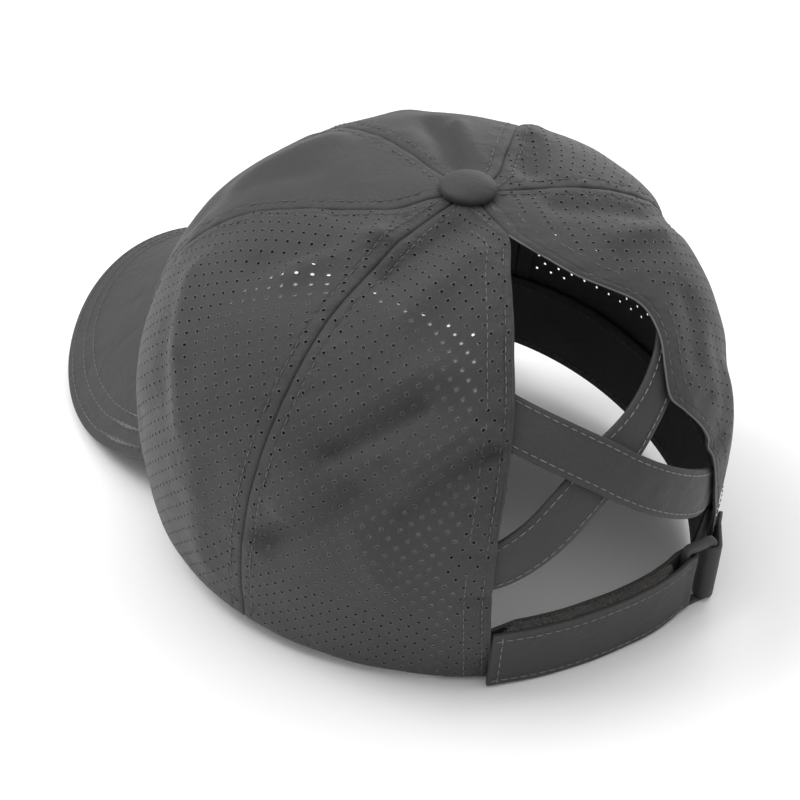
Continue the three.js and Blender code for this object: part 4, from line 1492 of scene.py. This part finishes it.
class CAP_OT_peak(bpy.types.Operator):
    """Make the bent peak and its rows of stitching"""

    bl_idname = "cap.peak"
    bl_label = "Peak"

    def execute(self, context):
        s = np.sin(math.pi / 2 * np.linspace(-1, 1, PEAK_SPANS + 1))
        root, rim = peak_edge(s)
        reach = root[:, 1] - rim[:, 1]
        half = PEAK_THICKNESS / 2
        steps = np.linspace(0, 1, 19)[:-1] ** 0.9
        sheets = [(t * np.maximum(0, 1 - half / reach), 1.0) for t in steps]
        for a in math.pi / 2 * np.arange(6) / 5:
            sheets.append((np.clip(1 - half * (1 - np.sin(a)) / reach, 0, 1), np.cos(a)))
        top = []
        under = []
        for t, share in sheets:
            x, y = (root[:, :2] + (rim - root[:, :2]) * t[:, None]).T
            middle = np.stack([x, y, board_height(x, y) + half], -1)
            up = board_up(x)
            ridge = 0.12 * wander(middle, 20, 8)
            top.append(middle + up * (half * share + ridge * share)[:, None])
            under.append(middle - up * (half * share))
        grid = np.array(top + under[::-1][1:])
        points = grid.reshape(-1, 3)
        faces = outward(points, folded_faces(*grid.shape[:2]))
        mesh = mesh_of("peak_cloth", points, faces, [cloth()], uv=points[:, :2], sharp=60.0)
        piece("peak_cloth", mesh, "cloth", "peak")

        forward = np.gradient(rim, axis=0)
        inward = unit(np.stack([-forward[:, 1], forward[:, 0]], -1))
        if inward[PEAK_SPANS // 2, 1] < 0:
            inward = -inward
        order = np.argsort(root[:, 0])
        rows = []
        for distance in PEAK_ROWS:
            line = rim + inward * distance
            hem = np.interp(line[:, 0], root[order, 0], root[order, 1])
            line = line[(line[:, 1] < hem - 1.5) & (np.abs(s) < 0.9995)]
            line = line[np.argsort(line[:, 0])]
            height = board_height(line[:, 0], line[:, 1]) + half
            up = board_up(line[:, 0])
            rows.append((np.column_stack([line, height]) + up * half, up))
        stitched("peak_stitching", rows, "crown_thread", context.scene.cap_stitch.colour)
        return {"FINISHED"}


class CAP_OT_button(bpy.types.Operator):
    """Make the cloth-covered button on top"""

    bl_idname = "cap.button"
    bl_label = "Button"

    def execute(self, context):
        sides = BUTTON_SIDES
        turns = np.arange(sides) * 2 * math.pi / sides
        rings = []
        for radius, height in BUTTON_PROFILE:
            tuck = 0.12 * np.cos(turns * 12) * smooth((radius - 6) / 3) * smooth((3 - height) / 3)
            x = (radius + tuck) * np.cos(turns)
            y = APEX_BACK + (radius + tuck) * np.sin(turns)
            rings.append(np.stack([x, y, np.full(sides, CROWN_HEIGHT + height)], -1))
        faces = []
        for i in range(len(rings) - 1):
            for k in range(sides):
                n = (k + 1) % sides
                faces.append((i * sides + k, i * sides + n, (i + 1) * sides + n, (i + 1) * sides + k))
        for height in (BUTTON_PROFILE[0][1], BUTTON_TOP):
            rings.append([[0, APEX_BACK, CROWN_HEIGHT + height]])
        points = np.concatenate(rings)
        low, high = len(points) - 2, len(points) - 1
        base = (len(BUTTON_PROFILE) - 1) * sides
        for k in range(sides):
            n = (k + 1) % sides
            faces.append((low, n, k))
            faces.append((high, base + k, base + n))
        faces = outward(points, faces)
        mesh = mesh_of("button_cloth", points, faces, [cloth()], uv=points[:, :2], sharp=70.0)
        piece("button_cloth", mesh, "cloth", "button")
        return {"FINISHED"}


class CAP_OT_sweatband(bpy.types.Operator):
    """Make the band sewn inside the hem"""

    bl_idname = "cap.sweatband"
    bl_label = "Sweatband"

    def execute(self, context):
        azimuth = np.radians(np.linspace(BAND_FROM, BAND_TO, 220))
        near = WALL + BAND_GAP
        far = near + BAND_THICKNESS
        middle = (near + far) / 2
        section = [(0.8, near + 0.2), (0.6, middle), (0.8, far - 0.2)]
        section += [(h, far) for h in (2, 5, 9, 14, 19, 24)]
        section += [(BAND_HEIGHT - 0.4, far - 0.1), (BAND_HEIGHT, middle)]
        section += [(BAND_HEIGHT - 0.4, near + 0.1)]
        section += [(h, near) for h in (24, 14, 5, 2)]
        rings = np.zeros((len(azimuth), len(section), 3))
        for k, (height, depth) in enumerate(section):
            rise = rise_of_height(azimuth, height)
            place = skin(azimuth, rise)
            ripple = 0.25 * wander(place, 14, 11) * smooth((height - 3) / 8)
            rings[:, k] = place - normal_of(skin, azimuth, rise) * (depth + ripple)[:, None]
        points, faces = sweep(rings)
        mesh = mesh_of("sweatband_cloth", points, faces, [inside_cloth()], uv=strip_uv([rings]))
        piece("sweatband_cloth", mesh, "band_cloth", "sweatband")
        rows = []
        for height in (BAND_ROW, BAND_HEIGHT - BAND_ROW):
            rise = rise_of_height(azimuth, height)
            out = -normal_of(skin, azimuth, rise)
            rows.append((skin(azimuth, rise) + out * far, out))
        colour = [2 * c for c in context.scene.cap_cloth.inside_colour]
        stitched("sweatband_stitching", rows, "band_thread", colour, "band_cloth")
        return {"FINISHED"}


def strap_frames(strap):
    """Places along a cross strap: centre, direction across, direction out, inset and width."""
    last = len(strap["step"]) - 1

    def base(azimuth, rise):
        points = base_crown(azimuth, rise)
        flare = corner_flare(azimuth, points)
        return points + normal_of(base_crown, azimuth, rise) * flare[..., None]

    def centre(t):
        t = np.clip(t, 0, last)
        azimuth = np.radians(along(strap, "azimuth", t, "step"))
        return azimuth, np.radians(along(strap, "rise", t, "step"))

    t = np.linspace(0, last, STRAP_STEPS)
    azimuth, rise = centre(t)
    ahead = unit(base(*centre(t + 0.05)) - base(*centre(t - 0.05)))
    out = normal_of(base, azimuth, rise)
    across = unit(np.cross(out, ahead))
    inset, width = (along(strap, column, t, "step") for column in ("inset", "width"))
    return base(azimuth, rise), across, out, inset, width


def strap_place(frames, across, depth):
    """Points on a cross strap at a share across it, from -1 to 1, and a depth under its face."""
    centre, side, out, inset, width = frames
    drop = -STRAP_BOW * across * across - inset - depth
    return centre + side * (across * width / 2)[:, None] + out * drop[:, None]


def cross_strap_section(width):
    """Shares across a cross strap and depths under its face, with the hems a little raised."""
    fold = 1 - 2 * STRAP_HEM / width
    section = []
    for k in range(15):
        x = -0.965 + 1.93 * k / 14
        section.append((x, STRAP_HEM_STEP if abs(x) < fold else 0.0))
    rounded = ((0.985, 0.1), (1.0, 0.5), (0.985, 0.9))
    section += [(x, share * STRAP_THICKNESS) for x, share in rounded]
    section += [(0.965 - 1.93 * k / 8, STRAP_THICKNESS) for k in range(9)]
    section += [(-x, share * STRAP_THICKNESS) for x, share in reversed(rounded)]
    return section


class CAP_OT_cross_straps(bpy.types.Operator):
    """Make the two straps that cross the rear opening"""

    bl_idname = "cap.cross_straps"
    bl_label = "Cross Straps"

    def execute(self, context):
        rows = []
        for seed, (name, strap) in enumerate(CROSS_STRAPS.items()):
            frames = strap_frames(strap)
            out, width = frames[2], frames[4]
            section = cross_strap_section(width[0])
            puckers = (0.45 - 0.45 * seed) * smooth(np.linspace(-0.6, 1.2, STRAP_STEPS))
            rings = np.zeros((STRAP_STEPS, len(section), 3))
            for k, (x, depth) in enumerate(section):
                place = strap_place(frames, x, depth)
                ripple = 0.22 * wander(place, 9, 20 + seed) + puckers * wander(place, 4.5, 24)
                ripple = ripple * max(0, 1 - x * x) ** 0.5
                rings[:, k] = place + out * ripple[:, None]
            points, faces = sweep(rings)
            mesh = mesh_of(name + "_cloth", points, faces, [cloth()], uv=strip_uv([rings]))
            piece(name + "_cloth", mesh, "cloth", name)
            for side in (-1, 1):
                rows.append((strap_place(frames, side * (1 - 2 * STRAP_ROW / width), -0.05), out))
        colour = context.scene.cap_stitch.strap_colour
        stitched("cross_strap_stitching", rows, "strap_thread", colour)
        return {"FINISHED"}


def closure_place(t, depth):
    """Foot of the closure strap in plan, a given depth inside its outer face. Places below 0 run
    straight on past the path's first end."""
    t = np.asarray(t, float)

    def at(s):
        over = np.minimum(s, 0)[..., None] * np.array(CLOSURE_RUN_ON)
        s = np.clip(s, 0, CLOSURE_LAST)
        return np.stack([along(CLOSURE_PATH, axis, s, "step") for axis in "xy"], -1) + over

    ahead = unit(at(t + 0.02) - at(t - 0.02))
    out = np.stack([ahead[..., 1], -ahead[..., 0]], -1)
    out = np.where(out[..., 1:] < 0, -out, out)
    plan = at(t) - out * depth
    return np.column_stack([plan, along(CLOSURE_PATH, "low", t, "step")])


def beside_hem(azimuth, depth, low):
    """Foot and lean of a ribbon that stands beside the hem."""
    azimuth = np.array([math.radians(azimuth)])
    foot = skin(azimuth, rise_of_height(azimuth, low))[0]
    head = skin(azimuth, rise_of_height(azimuth, low + CLOSURE_WIDTH))[0]
    out = normal_of(skin, azimuth, np.radians([5.0]))[0]
    out[2] = 0
    out = unit(out)
    return (foot - out * depth)[:2].tolist() + [low], (head - foot)[:2].tolist()


def standing(feet, leans, section):
    """Rings of a ribbon standing on edge. The section holds, for each point, its height and its
    distance out from the ribbon's middle."""
    feet = np.asarray(feet, float)
    leans = np.asarray(leans, float)
    ahead = unit(np.gradient(feet[:, :2], axis=0))
    out = np.stack([ahead[:, 1], -ahead[:, 0]], -1)
    rings = np.zeros((len(feet), len(section), 3))
    for k, (height, away) in enumerate(section):
        share = height / CLOSURE_WIDTH
        plan = feet[:, :2] + leans * share + out * away
        rings[:, k] = np.column_stack([plan, feet[:, 2] + height])
    return rings, out


def ribbon_section(low, high, half):
    """A standing ribbon's section with rounded top and bottom edges."""
    rounded = ((0.25, 0.92), (0.0, 0.45), (0.0, -0.45), (0.25, -0.92))
    section = [(low + (high - low) * k / 10, half) for k in range(1, 10)]
    section += [(high - drop, half * share) for drop, share in rounded]
    section += [(high - (high - low) * k / 6, -half) for k in range(1, 6)]
    section += [(low + drop, -half * share) for drop, share in rounded]
    return section


def beside_hem_all(azimuths, depth, low):
    """Feet and leans of a ribbon beside the hem, at each azimuth."""
    found = [beside_hem(azimuth, depth, low) for azimuth in azimuths]
    return [foot for foot, _ in found], [lean for _, lean in found]


def round_a_bar(x, start):
    """Feet and leans of a ribbon that turns half round one of the ring's bars."""
    turn = LAYER_SPACING / 2
    feet = []
    for k in range(13):
        a = start - math.pi * k / 12
        feet.append([x + turn * math.cos(a), RING_Y + turn * math.sin(a), RING_STRAP_LOW])
    return feet, [[0.0, CLOSURE_LEAN]] * 13


def leaning(feet):
    return np.tile([0.0, CLOSURE_LEAN], (len(feet), 1))


class CAP_OT_closure_strap(bpy.types.Operator):
    """Make the closure strap, folded round the ring, and its stitching"""

    bl_idname = "cap.closure_strap"
    bl_label = "Closure Strap"

    def execute(self, context):
        half = CLOSURE_THICKNESS / 2
        feet, leans = beside_hem_all(CLOSURE_START, WALL + CLOSURE_GAP + half, 0.0)
        t = np.linspace(CLOSURE_LAST / 12, CLOSURE_LAST, CLOSURE_STEPS)
        feet += closure_place(t, half + LAYER_SPACING).tolist()
        feet += round_a_bar(RING_LEFT_X, -math.pi / 2)[0]
        t = np.linspace(CLOSURE_LAST, CLOSURE_TIP, CLOSURE_STEPS)
        feet += closure_place(t, half).tolist()
        leans += [[0.0, CLOSURE_LEAN]] * (len(feet) - len(leans))
        rings, _ = standing(feet, leans, ribbon_section(0, CLOSURE_WIDTH, half))
        rings[..., 1] += 0.18 * wander(rings, 12, 31).reshape(rings.shape[:2])
        points, faces = sweep(rings)
        mesh = mesh_of("closure_strap_cloth", points, faces, [cloth()], uv=strip_uv([rings]))
        piece("closure_strap_cloth", mesh, "cloth", "closure_strap")

        rows = []
        feet = closure_place(np.linspace(CLOSURE_LAST * 0.985, CLOSURE_ROWS_TIP, 80), half)
        for height in CLOSURE_ROWS:
            rings, out = standing(feet, leaning(feet), [(height, -half)])
            rows.append((rings[:, 0], np.column_stack([-out, np.zeros(len(out))])))
        feet = closure_place(np.array(CLOSURE_BAR), half)
        heights = np.linspace(*CLOSURE_ROWS, 12)
        rings, out = standing(feet, leaning(feet), [(h, -half) for h in heights])
        rows.append((rings[0], np.tile(np.append(-out[0], 0), (12, 1))))
        stitched("closure_stitching", rows, "strap_thread", context.scene.cap_stitch.strap_colour)
        return {"FINISHED"}


class CAP_OT_hook_and_loop(bpy.types.Operator):
    """Make the hook and loop tapes between the strap's layers, with their fibres"""

    bl_idname = "cap.hook_and_loop"
    bl_label = "Hook and Loop Tape"

    def execute(self, context):
        settings = context.scene.cap_fastening
        material = tape_material("fastening_tape", settings.tape_colour)
        low = (CLOSURE_WIDTH - TAPE_WIDTH) / 2
        strips = {
            "hook_tape": (CLOSURE_THICKNESS + TAPE_GAP + TAPE_HALF, 0.03, 0.8),
            "loop_tape": (LAYER_SPACING - TAPE_GAP - TAPE_HALF, 0.06, 0.86),
        }
        random = np.random.default_rng(settings.seed)
        points = []
        directions = []
        for name, (depth, start, end) in strips.items():
            feet = closure_place(CLOSURE_LAST * np.linspace(start, end, 80), depth)
            section = ribbon_section(low, low + TAPE_WIDTH, TAPE_HALF)
            rings, out = standing(feet, leaning(feet), section)
            rings[..., 1] += 0.08 * wander(rings, 1.6, 41).reshape(rings.shape[:2])
            made, faces = sweep(rings)
            mesh = mesh_of(name + "_strip", made, faces, [material], uv=strip_uv([rings]))
            piece(name + "_strip", mesh, "fastening_tape", name)
            for _ in range(TAPE_FIBRES):
                k = random.integers(0, len(feet) - 1)
                share = random.random()
                place = feet[k] * (1 - share) + feet[k + 1] * share
                height = low + TAPE_WIDTH - abs(random.normal(0, 0.5))
                away = (random.random() * 2 - 1) * 0.6
                place[:2] += out[k] * away
                place[1:] += CLOSURE_LEAN * height / CLOSURE_WIDTH, height
                points.append(place)
                directions.append((random.normal(0, 0.3), away, 1.0))
        for _ in range(TAPE_END_FIBRES):
            depth = CLOSURE_THICKNESS + TAPE_GAP + random.random() * 2 * TAPE_HALF
            place = closure_place(np.array([CLOSURE_LAST * 0.03]), depth)[0]
            height = low + TAPE_WIDTH * random.random()
            place[1:] += CLOSURE_LEAN * height / CLOSURE_WIDTH, height
            points.append(place)
            directions.append((1.0, random.normal(0, 0.3), random.normal(0, 0.3)))
        values = {
            "Fibre Length": settings.fibre_length,
            "Seed": settings.seed,
            "Tape": thread_material("tape_fibre", settings.fibre_colour),
        }
        base = carrier("fibre_points", points, [], unit(np.array(directions)))
        mesh = grown(base, bristle_tree(), values)
        mesh.name = "tape_fibres"
        piece("tape_fibres", mesh, "fastening_tape")
        return {"FINISHED"}


class CAP_OT_strap_ring(bpy.types.Operator):
    """Make the plastic ring that the strap folds round"""

    bl_idname = "cap.strap_ring"
    bl_label = "Strap Ring"

    def execute(self, context):
        half_width = (RING_LEFT_X - RING_RIGHT_X) / 2 + RING_SHIFT - RING_CORNER
        half_height = RING_HEIGHT / 2 - RING_INSET - RING_CORNER
        rings = []
        for cx, cy, start in ((1, 1, 0), (-1, 1, 90), (-1, -1, 180), (1, -1, 270)):
            for k in range(7):
                a = math.radians(start + 15 * k)
                nx, ny = math.cos(a), math.sin(a)
                x = cx * half_width + RING_CORNER * nx
                y = cy * half_height + RING_CORNER * ny + RING_TOP_LIFT * max(0.0, ny)
                bar = RING_TOP_BAR if ny > 0 else RING_FOOT_BAR
                half = RING_SIDE_BAR * nx**2 + bar * ny**2
                ring = []
                for turn in 2 * math.pi * np.arange(16) / 16:
                    c, s = np.cos(turn), np.sin(turn)
                    flat = half * abs(c) ** RING_SQUARENESS * np.copysign(1, c)
                    deep = RING_HALF_DEPTH * abs(s) ** RING_SQUARENESS * np.copysign(1, s)
                    ring.append((x + nx * flat, y + ny * flat, deep))
                rings.append(ring)
        rings = np.array(rings)
        lean = math.atan(CLOSURE_LEAN / CLOSURE_WIDTH)
        height = RING_HEIGHT / 2 + RING_FOOT
        x = rings[..., 0] + (RING_LEFT_X + RING_RIGHT_X) / 2 + RING_SHIFT
        y = rings[..., 1] * math.sin(lean) - rings[..., 2] * math.cos(lean)
        y = y + RING_Y + (height - RING_STRAP_LOW) * math.tan(lean)
        z = rings[..., 1] * math.cos(lean) + rings[..., 2] * math.sin(lean) + height
        points, faces = sweep(np.stack([x, y, z], -1), closed=True)
        plastic = plastic_material("ring_plastic", context.scene.cap_fastening.ring_colour)
        mesh = mesh_of("ring_moulding", points, faces, [plastic], uv=points[:, :2])
        piece("ring_moulding", mesh, "ring_plastic", "strap_ring")
        return {"FINISHED"}


class CAP_OT_ring_tab(bpy.types.Operator):
    """Make the tab folded round the ring's other side"""

    bl_idname = "cap.ring_tab"
    bl_label = "Ring Tab"

    def execute(self, context):
        half = CLOSURE_THICKNESS / 2
        outside = -(TAB_CLEARANCE + half)
        inside = WALL + TAB_CLEARANCE + half
        feet = []
        leans = []
        for more, lean in (
            beside_hem_all(TAB_OUTSIDE, outside, RING_STRAP_LOW),
            round_a_bar(RING_RIGHT_X, math.radians(TAB_TURN)),
            beside_hem_all(TAB_INSIDE, inside, RING_STRAP_LOW),
        ):
            feet += more
            leans += lean
        rings, _ = standing(feet, leans, ribbon_section(0, CLOSURE_WIDTH, half))
        points, faces = sweep(rings)
        mesh = mesh_of("ring_tab_cloth", points, faces, [cloth()], uv=strip_uv([rings]))
        piece("ring_tab_cloth", mesh, "cloth", "ring_tab")
        return {"FINISHED"}


def aimed(name, data, place, target):
    """A lamp or camera that looks from its place at a target."""
    made = bpy.data.objects.new(name, data)
    made.location = place
    aim = Vector(target) - made.location
    made.rotation_euler = aim.to_track_quat("-Z", "Y").to_euler()
    bpy.context.collection.objects.link(made)
    return made


class CAP_OT_stage(bpy.types.Operator):
    """Set the pale floor, the studio lights and the camera"""

    bl_idname = "cap.stage"
    bl_label = "Stage"

    def execute(self, context):
        settings = context.scene.cap_stage
        floor_mesh = bpy.data.meshes.new("studio_floor")
        far = FLOOR_REACH
        corners = [(-far, -far, 0), (far, -far, 0), (far, far, 0), (-far, far, 0)]
        floor_mesh.from_pydata(corners, [], [(0, 1, 2, 3)])
        floor_mesh.materials.append(floor_material("pale_floor", settings.floor_colour))
        floor = bpy.data.objects.new("studio_floor", floor_mesh)
        context.collection.objects.link(floor)

        world = bpy.data.worlds.new("soft_room")
        world.use_nodes = True
        background = world.node_tree.nodes["Background"]
        background.inputs["Color"].default_value = (1.0, 1.0, 1.0, 1.0)
        background.inputs["Strength"].default_value = settings.world_light
        context.scene.world = world
        context.scene.view_settings.view_transform = "Standard"

        for name, (place, size) in LIGHTS.items():
            data = bpy.data.lights.new(name, "AREA")
            data.size = size
            data.energy = getattr(settings, name)
            aimed(name, data, place, LIGHT_AIM)

        data = bpy.data.cameras.new("photo_camera")
        data.sensor_width = 36.0
        data.lens = CAMERA_LENS
        data.clip_end = 60.0
        context.scene.camera = aimed("photo_camera", data, CAMERA_PLACE, CAMERA_AIM)
        return {"FINISHED"}


MAKERS = (
    CAP_OT_crown_panels,
    CAP_OT_seam_allowances,
    CAP_OT_opening_facings,
    CAP_OT_crown_stitching,
    CAP_OT_peak,
    CAP_OT_button,
    CAP_OT_sweatband,
    CAP_OT_cross_straps,
    CAP_OT_closure_strap,
    CAP_OT_hook_and_loop,
    CAP_OT_strap_ring,
    CAP_OT_ring_tab,
    CAP_OT_stage,
)


class CAP_PT_sidebar(bpy.types.Panel):
    """The cap's sizes, colours and makers"""

    bl_label = "Ponytail Cap"
    bl_idname = "CAP_PT_sidebar"
    bl_space_type = "VIEW_3D"
    bl_region_type = "UI"
    bl_category = "Cap"

    def draw(self, context):
        layout = self.layout
        for group in SETTINGS:
            box = layout.box()
            settings = getattr(context.scene, group)
            for key in settings.bl_rna.properties.keys():
                if key not in ("rna_type", "name"):
                    box.prop(settings, key)
        for maker in MAKERS:
            layout.operator(maker.bl_idname)


SETTINGS = {
    "cap_cloth": CapClothSettings,
    "cap_punch": CapPunchSettings,
    "cap_stitch": CapStitchSettings,
    "cap_fastening": CapFasteningSettings,
    "cap_stage": CapStageSettings,
}
CLASSES = (*SETTINGS.values(), *MAKERS, CAP_PT_sidebar)


def register():
    for item in CLASSES:
        bpy.utils.register_class(item)
    for name, group in SETTINGS.items():
        setattr(bpy.types.Scene, name, PointerProperty(type=group))


def unregister():
    for name in SETTINGS:
        delattr(bpy.types.Scene, name)
    for item in reversed(CLASSES):
        bpy.utils.unregister_class(item)


def main():
    register()
    bpy.ops.cap.stage()
    bpy.ops.cap.crown_panels()
    bpy.ops.cap.seam_allowances()
    bpy.ops.cap.opening_facings()
    bpy.ops.cap.crown_stitching()
    bpy.ops.cap.peak()
    bpy.ops.cap.button()
    bpy.ops.cap.sweatband()
    bpy.ops.cap.cross_straps()
    bpy.ops.cap.closure_strap()
    bpy.ops.cap.hook_and_loop()
    bpy.ops.cap.strap_ring()
    bpy.ops.cap.ring_tab()


if __name__ == "__main__":
    main()
